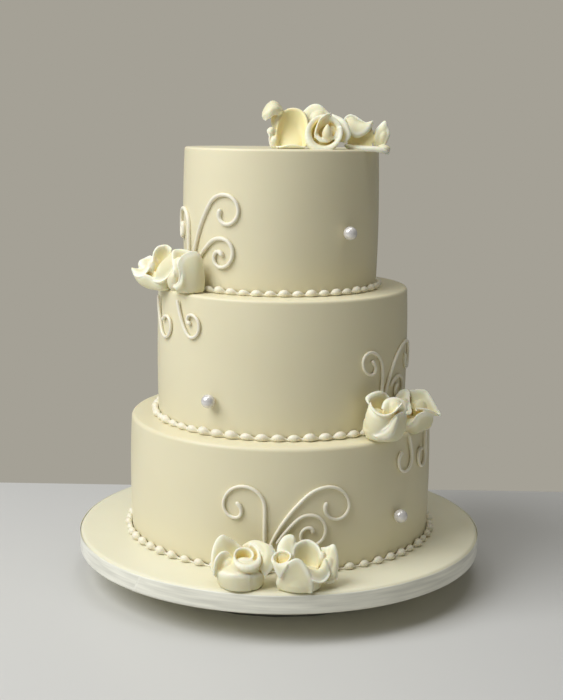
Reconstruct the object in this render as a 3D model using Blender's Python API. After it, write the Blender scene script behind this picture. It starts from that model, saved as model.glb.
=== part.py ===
"""Three-tier wedding cake on an iced round board, with piped borders, piped scrolls, pearls and sugar roses.

Units are metres, +Z is up and the cake's front faces -Y. The origin is the centre of the underside.
A turn is an angle round an upright axis, in degrees: 0 is the front, 90 the right (+X), 180 the back.
"""

import math

import bmesh
import bpy
from mathutils import Matrix, Vector

MM = 0.001
GAP = 0.3 * MM  # clearance between neighbouring pieces

# Driving dimensions: radii and heights from the bottom up.
RISER_RADIUS, RISER_HEIGHT = 115 * MM, 24 * MM
BOARD_RADIUS, BOARD_HEIGHT = 169 * MM, 15.7 * MM
RIBBON_THICKNESS, RIBBON_MARGIN = 0.7 * MM, 1.2 * MM
TIER_RADII = {"bottom": 126 * MM, "middle": 103.7 * MM, "top": 80 * MM}
TIER_OFFSETS = {"bottom": 0.1 * MM, "middle": 0.5 * MM, "top": -2.0 * MM}  # stacked by hand, along X
TIER_EDGE = 4 * MM  # rounding of the icing's top edge
TIER_TAPER = 1.2 * MM  # the wall draws in towards its foot and its top edge
BEAD_COUNTS = {"bottom": 68, "middle": 54, "top": 48}
BEAD_WIDTHS = {"bottom": 6.0 * MM, "middle": 5.6 * MM, "top": 5.0 * MM}
BEAD_HEIGHTS = {"bottom": 7.0 * MM, "middle": 6.6 * MM, "top": 6.0 * MM}
PEARL_RADIUS = 5.3 * MM
STROKE_WIDTH, STROKE_DEPTH = 2.8 * MM, 2.2 * MM  # a piped scroll line on the wall
STROKE_END = 1.15  # how much fuller a scroll's last dot is
BOARD_SHOULDER = 1.6 * MM  # bevel of the board's icing
PETAL_THICKNESS = 1.4 * MM  # in its middle
PETAL_ROOT = 0.4  # a petal's width at its root, as a share of its greatest width
PETAL_FULL = 0.6  # a petal is widest this far along its spine
BUD_HUG = 320  # degrees that the rolled bud petal wraps through
BUD_ROOT = 0.5  # a bud's radius at its root, as a share of its lip's
BUD_WINDING = (1.1, 0.85)  # its radius at the first and last edge of the roll

# Fineness of the round pieces.
TIER_SIDES, BOARD_SIDES, RISER_SIDES = 40, 48, 24
STROKE_STEP = 6 * MM  # along a scroll
STROKE_BLEND = 6 * MM  # a scroll's bend changes over this length
PETAL_ACROSS, PETAL_ALONG = 3, 3
BUD_ACROSS, BUD_ALONG = 6, 1
HEART_SIDES = 7
ROSE_FLATNESS = 12  # neighbouring faces of a rose within this angle (degrees) are made one

# Where each tier stands.
BOARD_FOOT = RISER_HEIGHT + GAP
LEDGES = {"board": BOARD_FOOT + BOARD_HEIGHT}
LEDGES["bottom"] = RISER_HEIGHT + 112.9 * MM
LEDGES["middle"] = RISER_HEIGHT + 220.1 * MM
LEDGES["top"] = RISER_HEIGHT + 331.1 * MM
STANDS_ON = {"bottom": "board", "middle": "bottom", "top": "middle"}

# Finishes: colour, roughness, metallic.
FINISHES = {
    "fondant": ((0.80, 0.75, 0.58), 0.45, 0.0),
    "piped_icing": ((0.86, 0.83, 0.72), 0.4, 0.0),
    "sugar_paste": ((0.87, 0.82, 0.66), 0.5, 0.0),
    "pearl": ((0.84, 0.82, 0.82), 0.2, 0.3),
    "satin": ((0.80, 0.79, 0.74), 0.35, 0.0),
    "riser_board": ((0.30, 0.30, 0.28), 0.8, 0.0),
}

# Piped scrolls: tier, turn of the first point, its height over the tier's foot, first heading (degrees, 90 is
# up, 0 is towards +X), then the pen's runs as (length in mm, bend in degrees, left positive).
SCROLLS = {
    "scroll_front_curl": ("bottom", -4.3, 18, 91,
                          [(33, -1), (25, 88), (25, 92), (15, 92), (7, 89), (9, 58)]),
    "scroll_front_tall": ("bottom", -2.6, 21, 68,
                          [(48, -25), (17, -38), (26, -86), (17, -100), (14, -81), (6, -49)]),
    "scroll_front_small": ("bottom", -0.4, 23, 58,
                           [(25, -14), (12, -54), (19, -85), (19, -99), (11, -88), (9, -76), (6, -140)]),
    "scroll_left_curl": ("top", -63, 27, 90,
                         [(22, 0), (22, 90), (22, 90), (14, 90), (7, 90), (8, 50)]),
    "scroll_left_tall": ("top", -56.2, 28.5, 73,
                         [(46, -19), (17, -57), (18, -86), (15, -81), (11, -90), (6, -53)]),
    "scroll_left_small": ("top", -51.4, 25, 49,
                          [(20, -7), (14, -43), (17, -88), (17, -76), (12, -99), (7, -70), (7, -130)]),
    "scroll_left_drop_outer": ("middle", -71.8, 101, -87,
                               [(12, 18), (17, 9), (12, 75), (13, 71), (12, 100), (9, 51)]),
    "scroll_left_drop_inner": ("middle", -51, 102, -74,
                               [(18, 10), (12, 19), (6, 64), (12, 73), (13, 86), (7, 92), (5, 120)]),
    "scroll_right_curl": ("middle", 48.7, 27, 84,
                          [(22, 8), (22, 73), (14, 109), (15, 78), (7, 112), (8, 44)]),
    "scroll_right_tall": ("middle", 50.9, 27, 69,
                          [(26, -11), (18, -29), (20, -37), (20, -92), (14, -90), (11, -80), (5, -35)]),
    "scroll_right_small": ("middle", 55.4, 34, 54,
                           [(8, -26), (13, -49), (14, -92), (13, -90), (9, -80), (5, -75)]),
    "scroll_right_drop_inner": ("bottom", 53, 96, -74,
                                [(12, 3), (11, -31), (11, -82), (15, -87), (8, -63)]),
    "scroll_right_drop_outer": ("bottom", 67, 95, -98,
                                [(19, 20), (8, -49), (9, -80), (13, -76), (8, -105)]),
}

# Pearls on the walls: tier, turn, height over the tier's foot.
PEARLS = {
    "pearl_top_front": ("top", 39.2, 48),
    "pearl_middle_front": ("middle", -30.3, 28),
    "pearl_bottom_front": ("bottom", 46.4, 35),
    "pearl_top_back": ("top", 219.2, 48),
    "pearl_middle_back": ("middle", 149.7, 28),
    "pearl_bottom_back": ("bottom", 226.4, 35),
}


# Sugar roses: place is (ledge, x, y) in mm, lean the (tilt, turn) that the whole rose is tipped by, heart the
# (foot radius, top radius, height) of its solid middle, and buds are (lip radius mm, foot height mm, length mm,
# tilt, turn). Each petal is (turn, roll, width, hug, tip, spine): the turn it grows towards, how far it is rolled
# about its spine, its greatest width (mm), the arc its section curls through (degrees, negative curls
# outwards), how pointed its lip is (0 to 1), and its profile as (out, up) in mm from root to lip.
ROSES = {
    "rose_front_left": {
        "place": ("board", -26, -147),
        "lean": (0, 0),
        "heart": (13, 14, 13),
        "buds": [(11, 9, 21, 44, 12), (4.5, 7, 22, 38, 20)],
        "petals": [
            (-80, 0, 30, 80, 0.5, [(10, 1), (18, 12), (21, 26), (15, 38)]),
            (105, 0, 38, 110, 0.1, [(10, 1), (15, 9), (19, 22), (21, 32)]),
            (-20, 0, 38, 110, 0.2, [(10, 2), (16, 5), (18, 12), (16, 19)]),
            (38, 0, 34, 110, 0.2, [(10, 2), (16, 6), (18, 13), (16, 22)]),
        ],
    },
    "rose_front_right": {
        "place": ("board", 16.5, -148),
        "lean": (0, 0),
        "heart": (13, 14, 12),
        "buds": [(7, 5, 20, 20, 8)],
        "petals": [
            (-150, 0, 28, 100, 0.3, [(9, 1), (12, 14), (12, 28), (9, 36)]),
            (-55, 0, 22, 60, 0.9, [(9, 4), (12, 18), (16, 24), (20, 12)]),
            (-8, 0, 30, 110, 0.35, [(12, 1), (17, 5), (18, 15), (15, 25)]),
            (48, 0, 32, 90, 0.3, [(12, 1), (17, 5), (20, 13), (22, 21)]),
            (168, 0, 44, 130, 0.3, [(9, 1), (13, 12), (14, 24), (12, 31)]),
            (80, 75, 27, -40, 0.1, [(8, 12), (15, 19), (22, 21), (27, 21)]),
        ],
    },
    "rose_left_inner": {
        "place": ("middle", -73, -60),
        "lean": (0, 0),
        "heart": (8, 10, 8),
        "buds": [(6, 4, 22, 10, 0)],
        "petals": [
            (25, 0, 30, 110, 0.25, [(6, 2), (12, 5), (14, 17), (11, 28)]),
            (-40, 0, 30, 90, 0.2, [(6, 2), (12, 7), (13, 20), (15, 29)]),
            (-155, 0, 26, 110, 0.1, [(5, 3), (8, 12), (9, 24), (9, 33)]),
        ],
    },
    "rose_left_outer": {
        "place": ("middle", -91, -38),
        "lean": (0, 0),
        "heart": (7, 9, 8),
        "buds": [(7, 4, 21, 12, -20)],
        "petals": [
            (-165, 0, 28, 120, 0.2, [(4, 3), (8, 16), (9, 27), (6, 33)]),
            (-85, 0, 26, 60, 0.3, [(6, 2), (14, 3), (22, 9), (27, 16)]),
            (-120, 0, 26, 70, 0.3, [(6, 5), (12, 15), (17, 23), (22, 22)]),
            (-5, 0, 34, 110, 0.1, [(6, 1), (12, 0), (16, 5), (18, 10)]),
        ],
    },
    "rose_right_inner": {
        "place": ("bottom", 78.5, -88),
        "lean": (0, 0),
        "heart": (8, 11, 9),
        "buds": [(14, 5, 26, 25, 35), (7, 5, 24, 35, 50)],
        "petals": [
            (-25, 0, 38, 110, 0.2, [(8, 1), (15, 5), (17, 16), (15, 24)]),
            (40, 0, 32, 70, 0.3, [(8, 1), (14, 4), (20, 12), (24, 20)]),
            (-158, 0, 26, 120, 0.4, [(6, 3), (9, 14), (10, 27), (9, 37)]),
        ],
    },
    "rose_right_outer": {
        "place": ("bottom", 103, -58),
        "lean": (0, 0),
        "heart": (7, 10, 8),
        "buds": [(7, 4, 20, 20, 0)],
        "petals": [
            (-175, 0, 32, 120, 0.1, [(6, 2), (10, 12), (11, 22), (9, 30)]),
            (85, 0, 34, 80, 0.4, [(7, 5), (12, 19), (18, 22), (24, 10)]),
            (20, 0, 34, 100, 0.2, [(7, 1), (14, 3), (17, 10), (18, 16)]),
            (-50, 0, 22, 90, 0.2, [(6, 2), (10, 8), (11, 16), (10, 24)]),
        ],
    },
    "rose_top_left": {
        "place": ("top", 4, -44),
        "lean": (0, 0),
        "heart": (10, 11, 5),
        "buds": [],
        "petals": [
            (-110, 0, 26, 70, 0.2, [(7, 2), (9, 19), (13, 36), (20, 27)]),
            (170, 0, 34, 110, 0.1, [(6, 1), (11, 9), (13, 20), (11, 30)]),
            (-68, 0, 26, 90, 0.2, [(8, 1), (12, 4), (14, 10), (16, 15)]),
            (15, 0, 32, 90, 0.1, [(8, 1), (13, 2), (16, 4), (18, 5)]),
            (92, 0, 22, 90, 0.2, [(7, 2), (12, 5), (14, 12), (13, 22)]),
        ],
    },
    "rose_top_middle": {
        "place": ("top", 31.5, -40),
        "lean": (72, 0),
        "heart": (6, 9, 7),
        "buds": [(12.5, 4, 19, 0, 0), (4.5, 4, 22, 0, 0)],
        "petals": [
            (-160, 0, 30, 110, 0.3, [(6, 4), (12, 9), (17, 14), (21, 17)]),
            (-95, 0, 28, 110, 0.2, [(6, 3), (12, 7), (14, 14), (15, 19)]),
            (-30, 0, 28, 110, 0.2, [(6, 3), (12, 7), (14, 14), (15, 19)]),
            (35, 0, 28, 110, 0.2, [(6, 3), (12, 7), (14, 14), (15, 19)]),
            (110, 0, 32, 110, 0.2, [(6, 3), (13, 7), (16, 13), (18, 17)]),
        ],
    },
    "rose_top_right": {
        "place": ("top", 59, -27),
        "lean": (0, 0),
        "heart": (8, 9, 6),
        "buds": [(6, 3, 14, 35, 10)],
        "petals": [
            (-170, 0, 34, 120, 0.3, [(5, 1), (11, 7), (14, 16), (13, 26)]),
            (130, 0, 24, 80, 0.6, [(6, 3), (12, 10), (15, 18), (17, 21)]),
            (85, 0, 22, 70, 0.9, [(8, 3), (15, 5), (19, 12), (20, 21)]),
            (60, 0, 28, 50, 0.3, [(7, 1.5), (14, 2.5), (20, 2), (26, 0)]),
            (-30, 0, 30, 60, 0.2, [(7, 1.5), (13, 2.5), (17, 4), (20, 4)]),
        ],
    },
}


def finish(name):
    """Material of this name, made once."""
    material = bpy.data.materials.get(name)
    if material is None:
        colour, roughness, metallic = FINISHES[name]
        material = bpy.data.materials.new(name)
        material.use_nodes = True
        shader = material.node_tree.nodes["Principled BSDF"]
        shader.inputs["Base Color"].default_value = (*colour, 1.0)
        shader.inputs["Roughness"].default_value = roughness
        shader.inputs["Metallic"].default_value = metallic
    return material


def add_object(name, bm, material, sharp=40):
    """Object made from a bmesh, smooth except at edges sharper than the given angle."""
    bmesh.ops.recalc_face_normals(bm, faces=bm.faces)
    if bm.calc_volume(signed=True) < 0:
        bmesh.ops.reverse_faces(bm, faces=bm.faces)
    mesh = bpy.data.meshes.new(name)
    bm.to_mesh(mesh)
    bm.free()
    mesh.shade_smooth()
    mesh.set_sharp_from_angle(angle=math.radians(sharp))
    mesh.materials.append(finish(material))
    thing = bpy.data.objects.new(name, mesh)
    bpy.context.scene.collection.objects.link(thing)
    return thing


def around(turn, radius, height):
    """Point at this turn (degrees), radius and height."""
    angle = math.radians(turn)
    return Vector((radius * math.sin(angle), -radius * math.cos(angle), height))


def turned(name, profile, sides, material, centre_x=0.0):
    """Solid of revolution from a (radius, height) profile that starts and ends on the axis."""
    bm = bmesh.new()
    points = [bm.verts.new((radius, 0, height)) for radius, height in profile]
    edges = [bm.edges.new(pair) for pair in zip(points, points[1:])]
    bmesh.ops.spin(bm, geom=points + edges, axis=(0, 0, 1), cent=(0, 0, 0), angle=math.tau, steps=sides,
                   use_merge=True)
    bmesh.ops.remove_doubles(bm, verts=bm.verts, dist=0.01 * MM)
    bmesh.ops.translate(bm, verts=bm.verts, vec=(centre_x, 0, 0))
    return add_object(name, bm, material)


def tube_rings(bm, rings, closed):
    """Skin a row of equal rings of points, joined end to end or capped."""
    rows = [[bm.verts.new(point) for point in ring] for ring in rings]
    pairs = list(zip(rows, rows[1:])) + ([(rows[-1], rows[0])] if closed else [])
    for near, far in pairs:
        for k in range(len(near)):
            bm.faces.new((near[k - 1], near[k], far[k], far[k - 1]))
    if not closed:
        bm.faces.new(rows[0])
        bm.faces.new(rows[-1])


def riser():
    """Plain round block under the board, set well in from its edge."""
    profile = [(0, 0), (RISER_RADIUS, 0), (RISER_RADIUS, RISER_HEIGHT), (0, RISER_HEIGHT)]
    turned("riser", profile, RISER_SIDES, "riser_board")


def cake_board():
    """Iced board: flat underside, ribbon-width edge and a rounded shoulder of icing."""
    edge = BOARD_RADIUS - RIBBON_THICKNESS - GAP
    top = BOARD_FOOT + BOARD_HEIGHT
    profile = [
        (0, BOARD_FOOT),
        (edge, BOARD_FOOT),
        (edge, top - BOARD_SHOULDER),
        (edge - BOARD_SHOULDER, top),
        (0, top),
    ]
    turned("cake_board", profile, BOARD_SIDES, "fondant")


def board_ribbon():
    """Satin band round the board's edge, a closed ring of rectangular section."""
    low = BOARD_FOOT + RIBBON_MARGIN / 2
    high = BOARD_FOOT + BOARD_HEIGHT - RIBBON_MARGIN
    inner = BOARD_RADIUS - RIBBON_THICKNESS
    section = [(inner, low), (BOARD_RADIUS, low), (BOARD_RADIUS, high), (inner, high)]
    bm = bmesh.new()
    rings = []
    for k in range(BOARD_SIDES):
        rings.append([around(360 * k / BOARD_SIDES + 90, radius, height) for radius, height in section])
    tube_rings(bm, rings, closed=True)
    add_object("board_ribbon", bm, "satin")


def tier(level):
    """Iced cake tier: a drum that is fullest at mid height, with a rounded top edge."""
    radius = TIER_RADII[level]
    low = LEDGES[STANDS_ON[level]] + GAP
    top = LEDGES[level]
    corner = radius - TIER_TAPER
    profile = [
        (0, low),
        (radius - TIER_TAPER, low),
        (radius, low + 0.5 * (top - low)),
        (corner, top - TIER_EDGE),
        (corner - TIER_EDGE * 0.3, top - TIER_EDGE * 0.3),
        (corner - TIER_EDGE, top),
        (0, top),
    ]
    turned(f"tier_{level}", profile, TIER_SIDES, "fondant", TIER_OFFSETS[level])


def border(level):
    """Piped bead trail in the corner at a tier's foot: each bead swells, peaks and draws out to the next."""
    corner_radius = TIER_RADII[level] - 0.8 * TIER_TAPER + GAP
    foot = LEDGES[STANDS_ON[level]] + GAP
    count, width, height = BEAD_COUNTS[level], BEAD_WIDTHS[level], BEAD_HEIGHTS[level]
    centre = Vector((TIER_OFFSETS[level], 0, 0))
    rings = []
    for bead in range(count):
        uneven = 1 + 0.07 * math.sin(2.4 * bead) + 0.05 * math.sin(5.3 * bead + 1)
        for place, swell in ((0.0, 1.0), (0.62, 0.5)):
            out, up = width * swell * uneven, height * swell * uneven
            section = [(0, 0), (out, 0.2 * up), (0.2 * out, up)]
            turn = 360 * (bead + place) / count
            rings.append([centre + around(turn, corner_radius + r, foot + z) for r, z in section])
    bm = bmesh.new()
    tube_rings(bm, rings, closed=True)
    add_object(f"border_{level}", bm, "piped_icing", sharp=80)


def pen_path(heading, runs):
    """Points (along, up) and headings of a pen stroke, its bend smoothed from run to run."""
    step = 0.5 * MM
    bends = []
    for length, bend in runs:
        count = round(length * MM / step)
        bends += [math.radians(bend) / count] * count
    reach = round(STROKE_BLEND / 2 / step)
    angle, along, up = math.radians(heading), 0.0, 0.0
    path = [(along, up, angle)]
    for k in range(len(bends)):
        window = [bends[min(max(k + j, 0), len(bends) - 1)] for j in range(-reach, reach + 1)]
        angle += sum(window) / len(window)
        along += step * math.cos(angle)
        up += step * math.sin(angle)
        path.append((along, up, angle))
    skip = STROKE_STEP / step
    count = round(len(path) / skip)
    return [path[round(k * (len(path) - 1) / count)] for k in range(count + 1)]


def scroll(name, level, turn, rise, heading, runs):
    """Piped line on a tier's wall, of rounded section with a flat back, a little fuller at its end."""
    wall = TIER_RADII[level] + GAP
    foot = LEDGES[STANDS_ON[level]] + rise * MM
    centre = Vector((TIER_OFFSETS[level], 0, 0))
    start = math.radians(turn) * wall
    path = pen_path(heading, runs)
    rings = []
    for k, (along, up, angle) in enumerate(path):
        full = STROKE_END if k >= len(path) - 2 else 1.0
        side = 0.5 * STROKE_WIDTH * full
        ring = []
        for across, out in ((-side, 0), (0, STROKE_DEPTH * full), (side, 0)):
            arc = start + along - across * math.sin(angle)
            height = foot + up + across * math.cos(angle)
            ring.append(centre + around(math.degrees(arc / wall), wall + out, height))
        rings.append(ring)
    bm = bmesh.new()
    tube_rings(bm, rings, closed=False)
    add_object(name, bm, "piped_icing", sharp=80)


def pearl(name, level, turn, rise):
    """Sugar pearl stuck on a tier's wall."""
    place = around(turn, TIER_RADII[level] + GAP + PEARL_RADIUS, LEDGES[STANDS_ON[level]] + rise * MM)
    place.x += TIER_OFFSETS[level]
    bm = bmesh.new()
    bmesh.ops.create_uvsphere(bm, u_segments=8, v_segments=5, radius=PEARL_RADIUS,
                              matrix=Matrix.Translation(place))
    add_object(name, bm, "pearl", sharp=80)


def smooth_through(points, place):
    """Point on a smooth curve through the given points; place runs from 0 to 1 over the whole curve."""
    last = len(points) - 1
    k = min(int(place * last), last - 1)
    t = place * last - k
    before, start, end, after = (points[min(max(k + j, 0), last)] for j in (-1, 0, 1, 2))
    weights = (-0.5 * t + t**2 - 0.5 * t**3, 1 - 2.5 * t**2 + 1.5 * t**3,
               0.5 * t + 2 * t**2 - 1.5 * t**3, -0.5 * t**2 + 0.5 * t**3)
    return tuple(sum(w * p[axis] for w, p in zip(weights, (before, start, end, after))) for axis in (0, 1))


def lace(bm, low, high):
    """Triangles between two rows of vertices, slanting towards the middle so that corners stay open."""
    last = len(low) - 1
    for k in range(last):
        if 2 * k < last:
            bm.faces.new((low[k], low[k + 1], high[k]))
            bm.faces.new((low[k + 1], high[k + 1], high[k]))
        else:
            bm.faces.new((low[k], low[k + 1], high[k + 1]))
            bm.faces.new((low[k], high[k + 1], high[k]))


def sheet_solid(rows):
    """Closed thin solid in front of and behind a grid of points, square at its root and thin at its edge."""
    bm = bmesh.new()
    front = [[bm.verts.new(point) for point in row] for row in rows]
    for low, high in zip(front, front[1:]):
        lace(bm, low, high)
    bm.normal_update()
    back = []
    for row in front[:-1]:
        behind = [bm.verts.new(vert.co - vert.normal * PETAL_THICKNESS) for vert in row[1:-1]]
        back.append([row[0]] + behind + [row[-1]])
    back.append(front[-1])
    for low, high in zip(back, back[1:]):
        lace(bm, low, high)
    bm.faces.new(front[0] + back[0][-2:0:-1])
    return bm


def petal(turn, roll, width, hug, tip, spine):
    """Petal: a thin sheet that rises along its spine, broadens, curls round and narrows to its lip."""
    half = 0.5 * width * MM
    curl_radius = half / (0.5 * math.radians(hug))
    rolled = math.radians(roll)
    ahead = around(turn, 1, 0)
    aside = around(turn + 90, 1, 0)
    sideways = aside * math.cos(rolled) + Vector((0, 0, math.sin(rolled)))
    inwards = aside * math.sin(rolled) - ahead * math.cos(rolled)
    rows = []
    for j in range(PETAL_ALONG + 1):
        row = []
        for i in range(PETAL_ACROSS + 1):
            across = 2 * i / PETAL_ACROSS - 1
            lip_drop = (0.08 + 0.12 * tip) * across**2
            along = j / PETAL_ALONG * (1 - lip_drop)
            out, up = (value * MM for value in smooth_through(spine, along))
            fullness = PETAL_ROOT + (1 - PETAL_ROOT) * math.sin(0.5 * math.pi * min(1, along / PETAL_FULL))
            fullness *= 1 - (0.2 + 0.6 * tip) * max(0, (along - PETAL_FULL) / (1 - PETAL_FULL)) ** 2
            bend = across * half * fullness / curl_radius
            section = sideways * curl_radius * math.sin(bend) + inwards * curl_radius * (1 - math.cos(bend))
            row.append(ahead * out + Vector((0, 0, up)) + section)
        rows.append(row)
    return sheet_solid(rows)


def tipped(tilt, turn):
    """Rotation that tips an upright axis over towards a turn."""
    axis = around(turn, 1, 0).cross(Vector((0, 0, -1)))
    return Matrix.Rotation(math.radians(tilt), 3, axis)


def bud(radius, foot, length, tilt, turn):
    """Rolled bud: one petal wound into a slim cup whose edges pass each other, tipped towards a turn."""
    rows = []
    for j in range(BUD_ALONG + 1):
        along = j / BUD_ALONG
        row = []
        for i in range(BUD_ACROSS + 1):
            across = i / BUD_ACROSS
            reach = radius * MM * (BUD_ROOT + (1 - BUD_ROOT) * along)
            reach *= BUD_WINDING[0] + (BUD_WINDING[1] - BUD_WINDING[0]) * across
            place = around(turn + BUD_HUG * (across - 0.5), reach, length * MM * along)
            row.append(tipped(tilt, turn) @ place + Vector((0, 0, foot * MM)))
        rows.append(row)
    return sheet_solid(rows)


def heart_solid(low_radius, high_radius, height):
    """Solid heart of a rose that its petals grow from, from its foot up."""
    bm = bmesh.new()
    bmesh.ops.create_cone(bm, cap_ends=True, segments=HEART_SIDES, radius1=low_radius * MM,
                          radius2=high_radius * MM, depth=height * MM,
                          matrix=Matrix.Translation((0, 0, height / 2 * MM)))
    return bm


def rose(name, place, lean, heart, buds, petals):
    """Sugar rose: heart, rolled buds and petals joined into one solid, tipped over and set on its ledge."""
    ledge, x, y = place
    solids = [heart_solid(*heart)] + [bud(*spec) for spec in buds] + [petal(*spec) for spec in petals]
    lowest = 0.0
    for bm in solids:
        bmesh.ops.rotate(bm, verts=bm.verts, cent=(0, 0, 0), matrix=tipped(*lean))
        lowest = min([lowest] + [vert.co.z for vert in bm.verts])
    things = []
    for k, bm in enumerate(solids):
        things.append(add_object(f"{name}_part_{k}" if k else name, bm, "sugar_paste"))
        things[k].location = (x * MM, y * MM, LEDGES[ledge] + GAP - lowest)
    leaves = bpy.data.collections.new(f"{name}_parts")
    for thing in things[1:]:
        thing.hide_render = True
        thing.display_type = "WIRE"
        leaves.objects.link(thing)
    union = things[0].modifiers.new("petals", "BOOLEAN")
    union.operation = "UNION"
    union.operand_type = "COLLECTION"
    union.collection = leaves
    union.solver = "EXACT"
    merging = things[0].modifiers.new("flat faces merged", "DECIMATE")
    merging.decimate_type = "DISSOLVE"
    merging.angle_limit = math.radians(ROSE_FLATNESS)


def clear_scene():
    for thing in list(bpy.data.objects):
        bpy.data.objects.remove(thing)


def main():
    clear_scene()
    riser()
    cake_board()
    board_ribbon()
    for level in ("bottom", "middle", "top"):
        tier(level)
        border(level)
    for name, spec in SCROLLS.items():
        scroll(name, *spec)
    for name, spec in PEARLS.items():
        pearl(name, *spec)
    for name, spec in ROSES.items():
        rose(name, **spec)


main()
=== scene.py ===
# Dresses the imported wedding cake: fondant, piped borders and scrolls, pearls, satin ribbon and sugar roses.
# Metres, Z up, the front faces -Y. A turn is an angle in degrees: 0 the front, 90 the right, 180 the back.

import math

import bmesh
import bpy
from mathutils import Matrix, Vector, noise
from mathutils.bvhtree import BVHTree
from mathutils.kdtree import KDTree


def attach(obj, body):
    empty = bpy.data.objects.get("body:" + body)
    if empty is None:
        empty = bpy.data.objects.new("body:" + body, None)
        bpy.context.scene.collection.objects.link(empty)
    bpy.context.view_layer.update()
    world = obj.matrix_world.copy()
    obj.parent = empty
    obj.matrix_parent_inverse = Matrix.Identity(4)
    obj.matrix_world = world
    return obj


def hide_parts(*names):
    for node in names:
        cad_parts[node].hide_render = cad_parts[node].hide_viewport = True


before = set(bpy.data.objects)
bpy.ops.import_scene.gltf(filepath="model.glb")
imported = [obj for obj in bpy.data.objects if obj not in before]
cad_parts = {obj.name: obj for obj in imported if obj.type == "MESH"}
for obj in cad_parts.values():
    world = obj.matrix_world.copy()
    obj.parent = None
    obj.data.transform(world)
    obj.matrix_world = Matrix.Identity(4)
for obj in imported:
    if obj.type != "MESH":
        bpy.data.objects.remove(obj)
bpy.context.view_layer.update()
scene = bpy.context.scene
mm = 0.001

# The cake's own sizes, as the CAD has them.
cake = {
    "gap": 0.3 * mm,
    "boardRadius": 169 * mm,
    "boardFoot": 24.3 * mm,
    "ledges": {"board": 40.0 * mm, "bottom": 136.9 * mm, "middle": 244.1 * mm, "top": 355.1 * mm},
    "standsOn": {"bottom": "board", "middle": "bottom", "top": "middle"},
    "radii": {"bottom": 126 * mm, "middle": 103.7 * mm, "top": 80 * mm},
    "offsets": {"bottom": 0.1 * mm, "middle": 0.5 * mm, "top": -2.0 * mm},
    "taper": 1.2 * mm,
}


# ---- small helpers


def around(turn, radius, height):
    angle = math.radians(turn)
    return Vector((radius * math.sin(angle), -radius * math.cos(angle), height))


def tipped(tilt, turn):
    axis = around(turn, 1, 0).cross(Vector((0, 0, -1)))
    return Matrix.Rotation(math.radians(tilt), 3, axis)


def smoothStep(low, high, value):
    t = min(1.0, max(0.0, (value - low) / (high - low)))
    return t * t * (3 - 2 * t)


def meshObject(name, bm, material, smooth=True):
    mesh = bpy.data.meshes.new(name)
    bm.to_mesh(mesh)
    bm.free()
    if smooth:
        mesh.shade_smooth()
    mesh.materials.append(material)
    thing = bpy.data.objects.new(name, mesh)
    scene.collection.objects.link(thing)
    return thing


def settle(thing):
    # The evaluated shape becomes a plain mesh, and the modifiers go.
    graph = bpy.context.evaluated_depsgraph_get()
    graph.update()
    mesh = bpy.data.meshes.new_from_object(thing.evaluated_get(graph), preserve_all_data_layers=True, depsgraph=graph)
    mesh.name = thing.name
    plain = bpy.data.objects.new(thing.name + "Settled", mesh)
    scene.collection.objects.link(plain)
    name = thing.name
    bpy.data.objects.remove(thing)
    plain.name = name
    return plain


def place(thing, slot, *nodes):
    if nodes:
        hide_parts(*nodes)
    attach(thing, "root")


# ---- shader groups


def shaderGroup(name, inputs, outputs):
    group = bpy.data.node_groups.new(name, "ShaderNodeTree")
    for label, kind, value in inputs:
        socket = group.interface.new_socket(label, in_out="INPUT", socket_type=kind)
        if value is not None:
            socket.default_value = value
    for label, kind in outputs:
        group.interface.new_socket(label, in_out="OUTPUT", socket_type=kind)
    return group, group.nodes.new("NodeGroupInput"), group.nodes.new("NodeGroupOutput")


def add(tree, kind, **settings):
    node = tree.nodes.new(kind)
    for key, value in settings.items():
        setattr(node, key, value)
    return node


def sums(tree, operation, first, second, clamp=False):
    node = add(tree, "ShaderNodeMath", operation=operation, use_clamp=clamp)
    for k, value in enumerate((first, second)):
        if value is None:
            continue
        if isinstance(value, (int, float)):
            node.inputs[k].default_value = value
        else:
            tree.links.new(value, node.inputs[k])
    return node.outputs[0]


def blendColours(tree, share, first, second):
    node = add(tree, "ShaderNodeMix", data_type="RGBA")
    for socket, value in ((node.inputs[0], share), (node.inputs[6], first), (node.inputs[7], second)):
        if isinstance(value, bpy.types.NodeSocket):
            tree.links.new(value, socket)
        else:
            socket.default_value = value if isinstance(value, float) else (*value, 1.0)
    return node.outputs[2]


def softMottleGroup():
    # Cloudy, uneven colour of handled sugar icing, with a fine grain for its bump.
    group, source, result = shaderGroup(
        "softMottle",
        [("Tone", "NodeSocketColor", (0.8, 0.75, 0.6, 1)), ("Pale", "NodeSocketColor", (0.9, 0.85, 0.7, 1)),
         ("Cloud Size", "NodeSocketFloat", 20.0), ("Cloud Strength", "NodeSocketFloat", 0.5),
         ("Grain Size", "NodeSocketFloat", 900.0), ("Grain", "NodeSocketFloat", 0.1)],
        [("Color", "NodeSocketColor"), ("Roughness", "NodeSocketFloat"), ("Height", "NodeSocketFloat")])
    spot = add(group, "ShaderNodeTexCoord")
    clouds = add(group, "ShaderNodeTexNoise")
    clouds.inputs["Detail"].default_value = 3.0
    group.links.new(spot.outputs["Object"], clouds.inputs["Vector"])
    group.links.new(source.outputs["Cloud Size"], clouds.inputs["Scale"])
    grain = add(group, "ShaderNodeTexNoise")
    grain.inputs["Detail"].default_value = 4.0
    group.links.new(spot.outputs["Object"], grain.inputs["Vector"])
    group.links.new(source.outputs["Grain Size"], grain.inputs["Scale"])
    share = sums(group, "MULTIPLY", clouds.outputs[0], source.outputs["Cloud Strength"], True)
    group.links.new(blendColours(group, share, source.outputs["Tone"], source.outputs["Pale"]), result.inputs["Color"])
    rough = sums(group, "ADD", sums(group, "MULTIPLY", clouds.outputs[0], 0.12), 0.36)
    group.links.new(rough, result.inputs["Roughness"])
    low = sums(group, "MULTIPLY", grain.outputs[0], source.outputs["Grain"])
    group.links.new(sums(group, "ADD", low, clouds.outputs[0]), result.inputs["Height"])
    return group


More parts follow.
